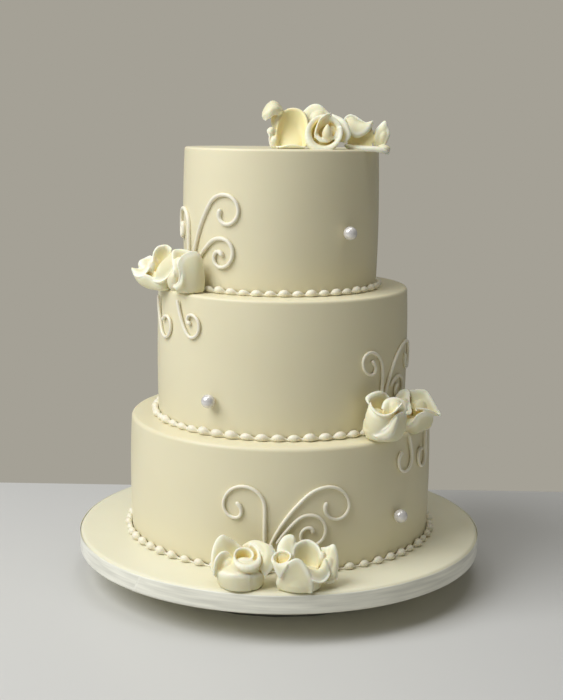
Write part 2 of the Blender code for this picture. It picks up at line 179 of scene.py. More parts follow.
softMottle = softMottleGroup()


def icingMaterial(look):
    material = bpy.data.materials.new(look["name"])
    material.use_nodes = True
    tree = material.node_tree
    shader = tree.nodes["Principled BSDF"]
    mottle = add(tree, "ShaderNodeGroup", node_tree=softMottle)
    mottle.inputs["Tone"].default_value = (*look["tone"], 1)
    mottle.inputs["Pale"].default_value = (*look["pale"], 1)
    mottle.inputs["Cloud Size"].default_value = look["cloudSize"]
    mottle.inputs["Cloud Strength"].default_value = look["cloudStrength"]
    mottle.inputs["Grain Size"].default_value = look["grainSize"]
    mottle.inputs["Grain"].default_value = look["grain"]
    colour = mottle.outputs["Color"]
    # Painted glow: the share of rays blocked between the petals tints the hollows gold, standing in for light shining
    # through the thin paste and bouncing between petals.
    if look.get("paintedGlow"):
        deep = add(tree, "ShaderNodeAttribute", attribute_name="paintedGlow")
        ramp = add(tree, "ShaderNodeMapRange", interpolation_type="SMOOTHSTEP")
        ramp.inputs["From Min"].default_value = 0.25
        ramp.inputs["From Max"].default_value = 0.95
        tree.links.new(deep.outputs["Fac"], ramp.inputs["Value"])
        # Painted highlight: nearness to a rolled rim paints the petal edges whiter, as if they caught the light.
        edge = add(tree, "ShaderNodeAttribute", attribute_name="rim")
        colour = blendColours(tree, edge.outputs["Fac"], colour, look["rim"])
        colour = blendColours(tree, ramp.outputs[0], colour, look["paintedGlow"])
    tree.links.new(colour, shader.inputs["Base Color"])
    tree.links.new(mottle.outputs["Roughness"], shader.inputs["Roughness"])
    bump = add(tree, "ShaderNodeBump")
    bump.inputs["Strength"].default_value = look["bump"]
    bump.inputs["Distance"].default_value = look["bumpDepth"]
    tree.links.new(mottle.outputs["Height"], bump.inputs["Height"])
    tree.links.new(bump.outputs["Normal"], shader.inputs["Normal"])
    shader.inputs["Subsurface Weight"].default_value = look["glow"]
    shader.inputs["Subsurface Radius"].default_value = (1.0, 0.7, 0.4)
    shader.inputs["Subsurface Scale"].default_value = look["glowDepth"]
    shader.inputs["Specular IOR Level"].default_value = look["gloss"]
    return material


finishes = {
    "fondant": {"name": "fondant", "tone": (0.775, 0.71, 0.475), "pale": (0.835, 0.775, 0.54), "cloudSize": 14.0,
                "cloudStrength": 1.0, "grainSize": 700.0, "grain": 0.05, "bump": 0.3, "bumpDepth": 0.4 * mm,
                "glow": 0.15, "glowDepth": 2 * mm, "gloss": 0.4},
    "boardIcing": {"name": "boardIcing", "tone": (0.80, 0.765, 0.555), "pale": (0.865, 0.83, 0.635), "cloudSize": 14.0,
                   "cloudStrength": 1.0, "grainSize": 700.0, "grain": 0.05, "bump": 0.3, "bumpDepth": 0.4 * mm,
                   "glow": 0.15, "glowDepth": 2 * mm, "gloss": 0.4},
    "pipedIcing": {"name": "pipedIcing", "tone": (0.85, 0.80, 0.62), "pale": (0.91, 0.87, 0.72), "cloudSize": 90.0,
                   "cloudStrength": 1.0, "grainSize": 1500.0, "grain": 0.1, "bump": 0.15, "bumpDepth": 0.1 * mm,
                   "glow": 0.15, "glowDepth": 1 * mm, "gloss": 0.5},
    # Sugar paste: the gold tint for the hollows is painted glow from light shining through and between the petals; the
    # whiter rim colour is a painted highlight on the rolled edges.
    "sugarPaste": {"name": "sugarPaste", "tone": (0.765, 0.72, 0.47), "pale": (0.83, 0.79, 0.55), "cloudSize": 60.0,
                   "cloudStrength": 1.0, "grainSize": 1200.0, "grain": 0.1, "bump": 0.2, "bumpDepth": 0.2 * mm,
                   "paintedGlow": (0.95, 0.82, 0.42), "rim": (0.91, 0.885, 0.71), "glow": 0.4, "glowDepth": 3 * mm, "gloss": 0.4},
}
fondant = icingMaterial(finishes["fondant"])
boardIcing = icingMaterial(finishes["boardIcing"])
pipedIcing = icingMaterial(finishes["pipedIcing"])
sugarPaste = icingMaterial(finishes["sugarPaste"])

pearlLook = {"heart": (0.62, 0.605, 0.59), "rim": (0.93, 0.89, 0.83)}


def pearlMaterial(look):
    material = bpy.data.materials.new("pearlCoat")
    material.use_nodes = True
    tree = material.node_tree
    shader = tree.nodes["Principled BSDF"]
    spot = add(tree, "ShaderNodeTexCoord")
    clouds = add(tree, "ShaderNodeTexNoise")
    clouds.inputs["Scale"].default_value = 300.0
    tree.links.new(spot.outputs["Object"], clouds.inputs["Vector"])
    tree.links.new(blendColours(tree, clouds.outputs[0], look["heart"], look["rim"]), shader.inputs["Base Color"])
    shader.inputs["Roughness"].default_value = 0.22
    shader.inputs["Metallic"].default_value = 0.25
    shader.inputs["Coat Weight"].default_value = 0.5
    shader.inputs["Coat Roughness"].default_value = 0.08
    return material


pearlCoat = pearlMaterial(pearlLook)

# Ribbon: a grey tone and a pale tone, mixed in a streak pattern as painted sheen; the riser colour is near-black,
# painted shade for the gap under the board.
ribbonLook = {"tone": (0.69, 0.68, 0.575), "pale": (0.95, 0.935, 0.80), "riser": (0.16, 0.16, 0.15)}


def satinMaterial(look):
    material = bpy.data.materials.new("satinRibbon")
    material.use_nodes = True
    tree = material.node_tree
    shader = tree.nodes["Principled BSDF"]
    bandCoords = add(tree, "ShaderNodeUVMap")
    bandCoords.uv_map = "along"
    stretch = add(tree, "ShaderNodeMapping")
    stretch.inputs["Scale"].default_value = (20.0, 4.2, 1.0)
    tree.links.new(bandCoords.outputs[0], stretch.inputs["Vector"])
    # Painted sheen: noise stretched along the band mixes in pale streak marks like the satin's streaky sheen, and also
    # gives a faint bump.
    sheenStreaks = add(tree, "ShaderNodeTexNoise")
    sheenStreaks.inputs["Scale"].default_value = 1.0
    sheenStreaks.inputs["Detail"].default_value = 3.0
    tree.links.new(stretch.outputs[0], sheenStreaks.inputs["Vector"])
    spread = add(tree, "ShaderNodeMapRange")
    spread.inputs["From Min"].default_value = 0.3
    spread.inputs["From Max"].default_value = 0.66
    tree.links.new(sheenStreaks.outputs[0], spread.inputs["Value"])
    tree.links.new(blendColours(tree, spread.outputs[0], look["tone"], look["pale"]), shader.inputs["Base Color"])
    bump = add(tree, "ShaderNodeBump")
    bump.inputs["Strength"].default_value = 0.25
    bump.inputs["Distance"].default_value = 0.1 * mm
    tree.links.new(sheenStreaks.outputs[0], bump.inputs["Height"])
    tree.links.new(bump.outputs["Normal"], shader.inputs["Normal"])
    shader.inputs["Roughness"].default_value = 0.3
    shader.inputs["Sheen Weight"].default_value = 0.3
    shader.inputs["Sheen Roughness"].default_value = 0.4
    return material


satinRibbon = satinMaterial(ribbonLook)


# Painted shade: the hidden riser is near-black so that the gap under the board reads as shadow.
def riserShadeMaterial(look):
    material = bpy.data.materials.new("riserShade")
    material.use_nodes = True
    tree = material.node_tree
    shader = tree.nodes["Principled BSDF"]
    mottle = add(tree, "ShaderNodeGroup", node_tree=softMottle)
    mottle.inputs["Tone"].default_value = (*look["riser"], 1)
    mottle.inputs["Pale"].default_value = (0.22, 0.22, 0.21, 1)
    tree.links.new(mottle.outputs["Color"], shader.inputs["Base Color"])
    shader.inputs["Roughness"].default_value = 0.75
    return material


riserShade = riserShadeMaterial(ribbonLook)

# ---- camera, light and stage

view = {"place": (0.009, -0.9962, 0.3716), "pitch": 0.182, "yaw": 0.009, "roll": 0.014, "lens": 62.337}
light = {
    "key": {"turn": -58, "rise": 44, "far": 1.9, "size": 1.4, "power": 37.3, "colour": (0.94, 0.955, 1.0)},
    "overhead": {"turn": 45, "rise": 83, "far": 1.8, "size": 0.9, "power": 7.5, "colour": (1, 0.99, 0.97)},
    "aim": (0, 0, 0.2),
    "wall": (0.376, 0.356, 0.305), "sky": (0.152, 0.149, 0.142),
    "table": (0.655, 0.65, 0.615), "tableBack": 0.228, "tableThick": 0.03,
}


def makeCamera(look):
    pitch, yaw, roll = look["pitch"], look["yaw"], look["roll"]
    ahead = Vector((-math.sin(yaw) * math.cos(pitch), math.cos(yaw) * math.cos(pitch), -math.sin(pitch)))
    side = ahead.cross(Vector((0, 0, 1))).normalized()
    up = side.cross(ahead)
    right = side * math.cos(roll) + up * math.sin(roll)
    top = up * math.cos(roll) - side * math.sin(roll)
    data = bpy.data.cameras.new("camera")
    data.sensor_fit = "AUTO"
    data.sensor_width = 36
    data.lens = look["lens"]
    camera = bpy.data.objects.new("camera", data)
    matrix = Matrix((right, top, -ahead)).transposed().to_4x4()
    matrix.translation = Vector(look["place"])
    camera.matrix_world = matrix
    scene.collection.objects.link(camera)
    scene.camera = camera


def makeLamp(name, look, aim):
    data = bpy.data.lights.new(name, "AREA")
    data.size = look["size"]
    data.energy = look["power"]
    data.color = look["colour"]
    lamp = bpy.data.objects.new(name, data)
    rise = math.radians(look["rise"])
    lamp.location = Vector(aim) + around(look["turn"], look["far"] * math.cos(rise), look["far"] * math.sin(rise))
    lamp.rotation_euler = (Vector(aim) - lamp.location).to_track_quat("-Z", "Y").to_euler()
    scene.collection.objects.link(lamp)


def makeStage(look):
    world = bpy.data.worlds.new("studio")
    world.use_nodes = True
    # The wall tone is what shows behind the cake; a dimmer sky of the same tone fills the shadows.
    tree = world.node_tree
    shown = tree.nodes["Background"]
    shown.inputs[0].default_value = (*look["wall"], 1)
    fills = add(tree, "ShaderNodeBackground")
    fills.inputs[0].default_value = (*look["sky"], 1)
    ray = add(tree, "ShaderNodeLightPath")
    either = add(tree, "ShaderNodeMixShader")
    tree.links.new(ray.outputs["Is Camera Ray"], either.inputs[0])
    tree.links.new(fills.outputs[0], either.inputs[1])
    tree.links.new(shown.outputs[0], either.inputs[2])
    tree.links.new(either.outputs[0], tree.nodes["World Output"].inputs[0])
    scene.world = world
    material = bpy.data.materials.new("paleTable")
    material.use_nodes = True
    shader = material.node_tree.nodes["Principled BSDF"]
    shader.inputs["Base Color"].default_value = (*look["table"], 1)
    shader.inputs["Roughness"].default_value = 0.5
    bm = bmesh.new()
    depth, thick = look["tableBack"] + 2.2, look["tableThick"]
    bmesh.ops.create_cube(bm, size=1, matrix=Matrix.Translation((0, look["tableBack"] - depth / 2, -thick / 2))
                          @ Matrix.Diagonal((4.0, depth, thick, 1)))
    table = meshObject("stageTable", bm, material, smooth=False)


makeCamera(view)
makeLamp("keyLamp", light["key"], light["aim"])
makeLamp("overheadLamp", light["overhead"], light["aim"])
makeStage(light)
scene.view_settings.view_transform = "Standard"
print("camera, light and stage ready")

# ---- iced drums

drum = {"sides": 192, "edge": {"bottom": 3.4 * mm, "middle": 2.5 * mm, "top": 2.0 * mm}, "edgeSteps": 8, "wallSteps": 24, "wave": 0.25 * mm, "waveSize": 18.0}


def lathe(name, profile, sides, centreX, material, wave=0.0, waveSize=18.0, ripple=0.0):
    bm = bmesh.new()
    rows = []
    for radius, height in profile:
        if radius < 1e-6:
            rows.append([bm.verts.new((centreX, 0, height))])
            continue
        row = []
        for k in range(sides):
            spot = around(360 * k / sides, radius, height)
            push = wave * noise.noise(Vector((spot.x, spot.y, spot.z)) * waveSize)
            turn = around(360 * k / sides, 1, 0)
            sink = ripple * abs(noise.noise(Vector((turn.x * 14, turn.y * 14, radius * 12)))) if height > profile[1][1] + 8 * mm else 0
            spot = around(360 * k / sides, radius + push - wave * 0.6, height - sink)
            spot.x += centreX
            row.append(bm.verts.new(spot))
        rows.append(row)
    for low, high in zip(rows, rows[1:]):
        for k in range(sides):
            quad = [low[k - 1 if len(low) > 1 else 0], low[k if len(low) > 1 else 0],
                    high[k if len(high) > 1 else 0], high[k - 1 if len(high) > 1 else 0]]
            corners = []
            for vert in quad:
                if vert not in corners:
                    corners.append(vert)
            bm.faces.new(corners)
    bmesh.ops.recalc_face_normals(bm, faces=bm.faces)
    return meshObject(name, bm, material)


def icedTier(level, look):
    radius = cake["radii"][level]
    low = cake["ledges"][cake["standsOn"][level]] + cake["gap"]
    top = cake["ledges"][level]
    edge = look["edge"][level]
    wallTop = top - edge
    profile = [(0, low), (radius - cake["taper"], low)]
    for k in range(1, look["wallSteps"] + 1):
        share = k / look["wallSteps"]
        profile.append((radius - cake["taper"] * (2 * share - 1) ** 2, low + share * (wallTop - low)))
    corner = radius - cake["taper"]
    for k in range(1, look["edgeSteps"] + 1):
        angle = math.pi / 2 * k / look["edgeSteps"]
        profile.append((corner - edge + edge * math.cos(angle), wallTop + edge * math.sin(angle)))
    for share in (0.85, 0.7, 0.5, 0.3, 0.15, 0):
        profile.append(((corner - edge) * share, top))
    thing = lathe("icedTier" + level.capitalize(), profile, look["sides"], cake["offsets"][level], fondant,
                  look["wave"], look["waveSize"])
    place(thing, "fondant", "tier_" + level)


for level in ("bottom", "middle", "top"):
    icedTier(level, drum)
print("iced tiers ready")

board = {"sides": 240, "shoulder": 3.2 * mm, "ripple": 0.14 * mm, "ribbonInset": 1.0 * mm, "wave": 0.15 * mm, "waveSize": 25.0}


def icedBoard(look):
    foot, top = cake["boardFoot"], cake["ledges"]["board"]
    edge = cake["boardRadius"] - look["ribbonInset"]
    round_ = look["shoulder"]
    profile = [(0, foot), (edge - 0.4 * mm, foot), (edge, foot + 0.4 * mm)]
    for k in range(9):
        angle = math.pi / 2 * k / 8
        profile.append((edge - round_ + round_ * math.cos(angle), top - round_ + round_ * math.sin(angle)))
    for share in (0.98, 0.96, 0.94, 0.92, 0.9, 0.88, 0.86, 0.84, 0.82, 0.8, 0.78, 0.76, 0.74, 0.5, 0.25, 0):
        profile.append(((edge - round_) * share, top))
    thing = lathe("icedBoard", profile, look["sides"], 0, boardIcing, look["wave"], look["waveSize"], look["ripple"])
    place(thing, "fondant", "cake_board")


icedBoard(board)

band = {"low": 24.8 * mm, "high": 38.9 * mm, "thick": 0.6 * mm, "steps": 480, "rows": 12, "seamTurn": -39,
        "overlap": 14, "crown": 0.08 * mm, "rumple": 0.16 * mm}


def satinBand(look):
    # A flat band whose ends pass over each other at the seam.
    bm = bmesh.new()
    along = bm.loops.layers.uv.new("along")
    total = 360 + look["overlap"]
    rows = []
    for k in range(look["steps"] + 1):
        share = k / look["steps"]
        turn = look["seamTurn"] + total * share
        lift = 0.24 * mm * (1 - smoothStep(look["overlap"] / total, look["overlap"] * 1.6 / total, share))
        slant = 2.6 * (1 - smoothStep(0, 0.03, share))
        radius = cake["boardRadius"] - 0.62 * mm + lift
        row = []
        for j in range(look["rows"] + 1):
            up = j / look["rows"]
            out = radius + look["crown"] * math.sin(math.pi * up)
            out += look["rumple"] * noise.noise(Vector((turn * 0.16, up * 3.2, 2.5)))
            row.append(around(turn + slant * (up - 0.5), out, look["low"] + (look["high"] - look["low"]) * up))
        rows.append(row)
    outer = [[bm.verts.new(p) for p in row] for row in rows]
    inner = [[bm.verts.new(p - Vector((p.x, p.y, 0)).normalized() * 0.22 * mm) for p in row] for row in rows]
    steps, tall = len(rows), len(rows[0])

    def uvFace(verts, uvs):
        face = bm.faces.new(verts)
        for loop, uv in zip(face.loops, uvs):
            loop[along].uv = uv

    for k in range(steps - 1):
        for j in range(tall - 1):
            uvs = [(k / steps, j / tall), ((k + 1) / steps, j / tall), ((k + 1) / steps, (j + 1) / tall),
                   (k / steps, (j + 1) / tall)]
            uvFace((outer[k][j], outer[k + 1][j], outer[k + 1][j + 1], outer[k][j + 1]), uvs)
            uvFace((inner[k][j + 1], inner[k + 1][j + 1], inner[k + 1][j], inner[k][j]), uvs[::-1])
        for j in (0, tall - 1):
            corners = (outer[k][j], inner[k][j], inner[k + 1][j], outer[k + 1][j])
            uvFace(corners if j == 0 else corners[::-1], [(k / steps, j / tall)] * 4)
    for k in (0, steps - 1):
        for j in range(tall - 1):
            corners = (outer[k][j], outer[k][j + 1], inner[k][j + 1], inner[k][j])
            uvFace(corners if k == 0 else corners[::-1], [(k / steps, j / tall)] * 4)
    bmesh.ops.recalc_face_normals(bm, faces=bm.faces)
    thing = meshObject("satinBand", bm, satinRibbon)
    place(thing, "satin_ribbon", "board_ribbon")


satinBand(band)
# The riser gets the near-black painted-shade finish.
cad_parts["riser"].data.materials.clear()
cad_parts["riser"].data.materials.append(riserShade)
print("board and ribbon ready")

# ---- geometry node trees


def nodeTree(name, inputs):
    tree = bpy.data.node_groups.new(name, "GeometryNodeTree")
    tree.interface.new_socket("Geometry", in_out="INPUT", socket_type="NodeSocketGeometry")
    for label, kind, value in inputs:
        socket = tree.interface.new_socket(label, in_out="INPUT", socket_type=kind)
        if value is not None:
            socket.default_value = value
    tree.interface.new_socket("Geometry", in_out="OUTPUT", socket_type="NodeSocketGeometry")
    return tree, tree.nodes.new("NodeGroupInput"), tree.nodes.new("NodeGroupOutput")


def growFrom(thing, tree, values):
    # The inputs are set by identifier before the first evaluation.
    grown = thing.modifiers.new("grown", "NODES")
    grown.node_group = tree
    for item in tree.interface.items_tree:
        if item.in_out == "INPUT" and item.name in values:
            grown[item.identifier] = values[item.name]
    return settle(thing)


def beadTrailTree(shape):
    tree, source, result = nodeTree("beadTrail", [
        ("Radius", "NodeSocketFloat", 0.1), ("Beads", "NodeSocketInt", 60), ("Steps", "NodeSocketInt", 10),
        ("Bead Radius", "NodeSocketFloat", 0.003), ("Unevenness", "NodeSocketFloat", 0.2),
        ("Foot", "NodeSocketFloat", 0.04), ("Centre X", "NodeSocketFloat", 0.0), ("Seed", "NodeSocketInt", 3),
        ("Icing", "NodeSocketMaterial", None)])
    link = tree.links.new
    ring = add(tree, "GeometryNodeCurvePrimitiveCircle")
    points = sums(tree, "MULTIPLY", source.outputs["Beads"], source.outputs["Steps"])
    link(points, ring.inputs["Resolution"])
    link(source.outputs["Radius"], ring.inputs["Radius"])
    index = add(tree, "GeometryNodeInputIndex")
    turn = sums(tree, "DIVIDE", index.outputs[0], source.outputs["Steps"])
    number = sums(tree, "FLOOR", turn, None)
    place_ = sums(tree, "FRACT", turn, None)
    drop = add(tree, "ShaderNodeFloatCurve")
    curve = drop.mapping.curves[0]
    curve.points[0].location = shape[0]
    curve.points[1].location = shape[-1]
    for x, y in shape[1:-1]:
        curve.points.new(x, y)
    drop.mapping.update()
    link(place_, drop.inputs["Value"])
    uneven = add(tree, "FunctionNodeRandomValue", data_type="FLOAT")
    link(number, uneven.inputs["ID"])
    link(source.outputs["Seed"], uneven.inputs["Seed"])
    scale = sums(tree, "ADD", 1.0, sums(tree, "MULTIPLY", sums(tree, "SUBTRACT", uneven.outputs[1], 0.5),
                                        source.outputs["Unevenness"]))
    radius = sums(tree, "MULTIPLY", sums(tree, "MULTIPLY", drop.outputs[0], scale), source.outputs["Bead Radius"])
    # Each bead lies in the corner: as far out and as high as it is thick.
    spot = add(tree, "GeometryNodeInputPosition")
    outward = add(tree, "ShaderNodeVectorMath", operation="NORMALIZE")
    link(spot.outputs[0], outward.inputs[0])
    push = add(tree, "ShaderNodeVectorMath", operation="SCALE")
    link(outward.outputs[0], push.inputs[0])
    link(radius, push.inputs["Scale"])
    lift = add(tree, "ShaderNodeCombineXYZ")
    link(source.outputs["Centre X"], lift.inputs[0])
    link(sums(tree, "ADD", radius, source.outputs["Foot"]), lift.inputs[2])
    offset = add(tree, "ShaderNodeVectorMath", operation="ADD")
    link(push.outputs[0], offset.inputs[0])
    link(lift.outputs[0], offset.inputs[1])
    moved = add(tree, "GeometryNodeSetPosition")
    link(ring.outputs[0], moved.inputs[0])
    link(offset.outputs[0], moved.inputs["Offset"])
    section = add(tree, "GeometryNodeCurvePrimitiveCircle")
    section.inputs["Resolution"].default_value = 12
    section.inputs["Radius"].default_value = 1.0
    keep = add(tree, "GeometryNodeCaptureAttribute")
    keep.capture_items.new("FLOAT", "thick")
    link(ring.outputs[0], keep.inputs[0])
    link(radius, keep.inputs[1])
    link(keep.outputs[0], moved.inputs[0])
    rope = add(tree, "GeometryNodeCurveToMesh")
    link(moved.outputs[0], rope.inputs["Curve"])
    link(section.outputs[0], rope.inputs["Profile Curve"])
    link(keep.outputs[1], rope.inputs["Scale"])
    soft = add(tree, "GeometryNodeSetShadeSmooth")
    link(rope.outputs[0], soft.inputs[0])
    real = add(tree, "GeometryNodeRealizeInstances")
    link(soft.outputs[0], real.inputs[0])
    coat = add(tree, "GeometryNodeSetMaterial")
    link(real.outputs[0], coat.inputs[0])
    link(source.outputs["Icing"], coat.inputs["Material"])
    link(coat.outputs[0], result.inputs[0])
    return tree


# How thick a bead is along its length: pearls with thin tails on the board, longer drops on the ledges.
pearlShape = [(0.0, 0.26), (0.06, 0.52), (0.14, 0.84), (0.27, 1.0), (0.41, 0.88), (0.53, 0.56), (0.66, 0.33),
              (0.84, 0.24), (1.0, 0.26)]
dropShape = [(0.0, 0.38), (0.1, 0.66), (0.25, 0.94), (0.4, 1.0), (0.56, 0.88), (0.72, 0.64), (0.87, 0.44), (1.0, 0.38)]
borders = {
    "bottom": (pearlShape, {"Beads": 60, "Bead Radius": 2.95 * mm, "Seed": 3}),
    "middle": (dropShape, {"Beads": 54, "Bead Radius": 2.95 * mm, "Seed": 5}),
    "top": (dropShape, {"Beads": 48, "Bead Radius": 2.7 * mm, "Seed": 8}),
}


def pipedBorders(look):
    for level, (shape, values) in look.items():
        tree = beadTrailTree(shape)
        seedMesh = bmesh.new()
        thing = meshObject("beadBorder" + level.capitalize(), seedMesh, pipedIcing)
        made = growFrom(thing, tree, {
            **values, "Radius": cake["radii"][level] - 0.9 * mm, "Steps": 14, "Unevenness": 0.3,
            "Foot": cake["ledges"][cake["standsOn"][level]], "Centre X": cake["offsets"][level],
            "Icing": pipedIcing})
        place(made, "piped_icing", "border_" + level)


pipedBorders(borders)
print("bead borders ready")


def pipedLineTree():
    tree, source, result = nodeTree("pipedLine", [
        ("Thickness", "NodeSocketFloat", 0.0026), ("Sides", "NodeSocketInt", 12), ("Step", "NodeSocketFloat", 0.0008),
        ("Icing", "NodeSocketMaterial", None)])
    link = tree.links.new
    line = add(tree, "GeometryNodeMeshToCurve")
    link(source.outputs["Geometry"], line.inputs[0])
    even = add(tree, "GeometryNodeResampleCurve")
    even.mode = "LENGTH"
    link(line.outputs[0], even.inputs["Curve"])
    link(source.outputs["Step"], even.inputs["Length"])
    along = add(tree, "GeometryNodeSplineParameter")
    taper = add(tree, "ShaderNodeFloatCurve")
    curve = taper.mapping.curves[0]
    shape = [(0.0, 0.05), (0.004, 0.3), (0.02, 0.46), (0.08, 0.5), (0.92, 0.5), (0.955, 0.6), (0.98, 0.62), (0.993, 0.4), (1.0, 0.05)]
    curve.points[0].location = shape[0]
    curve.points[1].location = shape[-1]
    for x, y in shape[1:-1]:
        curve.points.new(x, y)
    taper.mapping.update()
    link(along.outputs["Factor"], taper.inputs["Value"])
    wobble = add(tree, "ShaderNodeTexNoise")
    wobble.inputs["Scale"].default_value = 160.0
    steady = sums(tree, "ADD", 0.92, sums(tree, "MULTIPLY", wobble.outputs[0], 0.16))
    radius = sums(tree, "MULTIPLY", sums(tree, "MULTIPLY", taper.outputs[0], source.outputs["Thickness"]), steady)
    section = add(tree, "GeometryNodeCurvePrimitiveCircle")
    link(source.outputs["Sides"], section.inputs["Resolution"])
    section.inputs["Radius"].default_value = 1.0
    rope = add(tree, "GeometryNodeCurveToMesh")
    rope.inputs["Fill Caps"].default_value = True
    link(even.outputs[0], rope.inputs["Curve"])
    link(section.outputs[0], rope.inputs["Profile Curve"])
    link(radius, rope.inputs["Scale"])
    soft = add(tree, "GeometryNodeSetShadeSmooth")
    link(rope.outputs[0], soft.inputs[0])
    real = add(tree, "GeometryNodeRealizeInstances")
    link(soft.outputs[0], real.inputs[0])
    coat = add(tree, "GeometryNodeSetMaterial")
    link(real.outputs[0], coat.inputs[0])
    link(source.outputs["Icing"], coat.inputs["Material"])
    link(coat.outputs[0], result.inputs[0])
    return tree


# Tier, turn of the first point, its height over the tier's foot, first heading, then runs of (length mm, bend degrees).
scrolls = {
    "scroll_front_curl": ("bottom", -4.3, 18, 91,
                          [(33, -1), (25, 88), (25, 92), (15, 92), (7, 89), (9, 58)]),
    "scroll_front_tall": ("bottom", -2.6, 21, 68,
                          [(48, -25), (17, -38), (26, -86), (17, -100), (14, -81), (6, -49)]),
    "scroll_front_small": ("bottom", -0.4, 23, 58,
                           [(25, -14), (12, -54), (19, -85), (19, -99), (11, -88), (9, -76), (6, -140)]),
    "scroll_left_curl": ("top", -63, 27, 90,
                         [(22, 0), (22, 90), (22, 90), (14, 90), (7, 90), (8, 50)]),
    "scroll_left_tall": ("top", -56.2, 28.5, 73,
                         [(46, -19), (17, -57), (18, -86), (15, -81), (11, -90), (6, -53)]),
    "scroll_left_small": ("top", -51.4, 25, 49,
                          [(19, -7), (13, -43), (16, -88), (16, -76), (12, -99), (7, -70), (7, -130)]),
    "scroll_left_drop_outer": ("middle", -71.8, 101, -87,
                               [(12, 18), (17, 9), (12, 75), (13, 71), (12, 100), (9, 51)]),
    "scroll_left_drop_inner": ("middle", -51, 102, -74,
                               [(18, 10), (12, 19), (6, 64), (12, 73), (13, 86), (7, 92), (5, 120)]),
    "scroll_right_curl": ("middle", 48.7, 27, 84,
                          [(22, 8), (22, 73), (14, 109), (15, 78), (7, 112), (8, 44)]),
    "scroll_right_tall": ("middle", 50.9, 27, 69,
                          [(26, -11), (18, -29), (20, -37), (20, -92), (14, -90), (11, -80), (5, -35)]),
    "scroll_right_small": ("middle", 55.4, 34, 54,
                           [(8, -26), (13, -49), (14, -92), (13, -90), (9, -80), (5, -75)]),
    "scroll_right_drop_inner": ("bottom", 53, 96, -74,
                                [(12, 3), (11, -31), (11, -82), (15, -87), (8, -63)]),
    "scroll_right_drop_outer": ("bottom", 67, 95, -98,
                                [(19, 20), (8, -49), (9, -80), (13, -76), (8, -105)]),
}
pen = {"step": 0.5 * mm, "blend": 6 * mm, "standOff": 0.75 * mm, "sides": 12,
       "thickness": {"bottom": 2.8 * mm, "middle": 2.7 * mm, "top": 3.3 * mm}}


def penPath(heading, runs, look):
    step = look["step"]
    bends = []
    for length, bend in runs:
        count = round(length * mm / step)
        bends += [math.radians(bend) / count] * count
    reach = round(look["blend"] / 2 / step)
    angle, along, up = math.radians(heading), 0.0, 0.0
    path = [(along, up)]
    for k in range(len(bends)):
        window = [bends[min(max(k + j, 0), len(bends) - 1)] for j in range(-reach, reach + 1)]
        angle += sum(window) / len(window)
        along += step * math.cos(angle)
        up += step * math.sin(angle)
        path.append((along, up))
    return path


def pipedScrolls(look):
    tree = pipedLineTree()
    for name, (level, turn, rise, heading, runs) in scrolls.items():
        wall = cake["radii"][level] + cake["gap"]
        foot = cake["ledges"][cake["standsOn"][level]] + rise * mm
        start = math.radians(turn) * wall
        bm = bmesh.new()
        last = None
        for along, up in penPath(heading, runs, look):
            spot = around(math.degrees((start + along) / wall), wall + look["standOff"], foot + up)
            spot.x += cake["offsets"][level]
            vert = bm.verts.new(spot)
            if last:
                bm.edges.new((last, vert))
            last = vert
        words = name.split("_")
        thing = meshObject(words[0] + "".join(word.capitalize() for word in words[1:]), bm, pipedIcing)
        made = growFrom(thing, tree, {"Thickness": look["thickness"][level], "Sides": look["sides"], "Icing": pipedIcing})
        place(made, "piped_icing", name)


pipedScrolls(pen)
print("scrolls ready")

pearls = {
    "pearl_top_front": ("top", 39.2, 48),
    "pearl_middle_front": ("middle", -30.3, 28),
    "pearl_bottom_front": ("bottom", 46.4, 35),
    "pearl_top_back": ("top", 219.2, 48),
    "pearl_middle_back": ("middle", 149.7, 28),
    "pearl_bottom_back": ("bottom", 226.4, 35),
}


def sugarPearls(radius):
    for name, (level, turn, rise) in pearls.items():
        spot = around(turn, cake["radii"][level] + cake["gap"] + radius, cake["ledges"][cake["standsOn"][level]] + rise * mm)
        spot.x += cake["offsets"][level]
        bm = bmesh.new()
        bmesh.ops.create_uvsphere(bm, u_segments=40, v_segments=24, radius=radius, matrix=Matrix.Translation(spot))
        words = name.split("_")
        thing = meshObject(words[0] + "".join(word.capitalize() for word in words[1:]), bm, pearlCoat)
        place(thing, "pearl", name)


sugarPearls(5.3 * mm)
print("pearls ready")

# Sugar roses. Every petal is (root, swell, lip, roll, curl, outward): the sheet runs from its root line over a
# swell to its lip line, and there its rim rolls outward. Points are mm from the rose's own place on its ledge:
# x to the right, y to the back, z up. The roll is the rim's radius in mm, the curl the degrees it turns through.
# A bud is (middle of its mouth, radius, length, tilt, turn, winds, rim roll, flap roll, flap turn).
# A lump of paste is (x, y, z, half width, half depth, half height, tilt), and fills what lies between the petals.
# The drum is the cut foot: rings of (height, half width, half depth, x, y).
petalLook = {"thickness": 1.3 * mm, "across": 30, "along": 14, "rimSteps": 5, "ruffle": 0.3 * mm,
             "voxel": 0.55 * mm, "rimReach": 3.6 * mm}
budLook = {"steps": 30, "along": 8, "shrink": 0.62, "foot": 0.45}
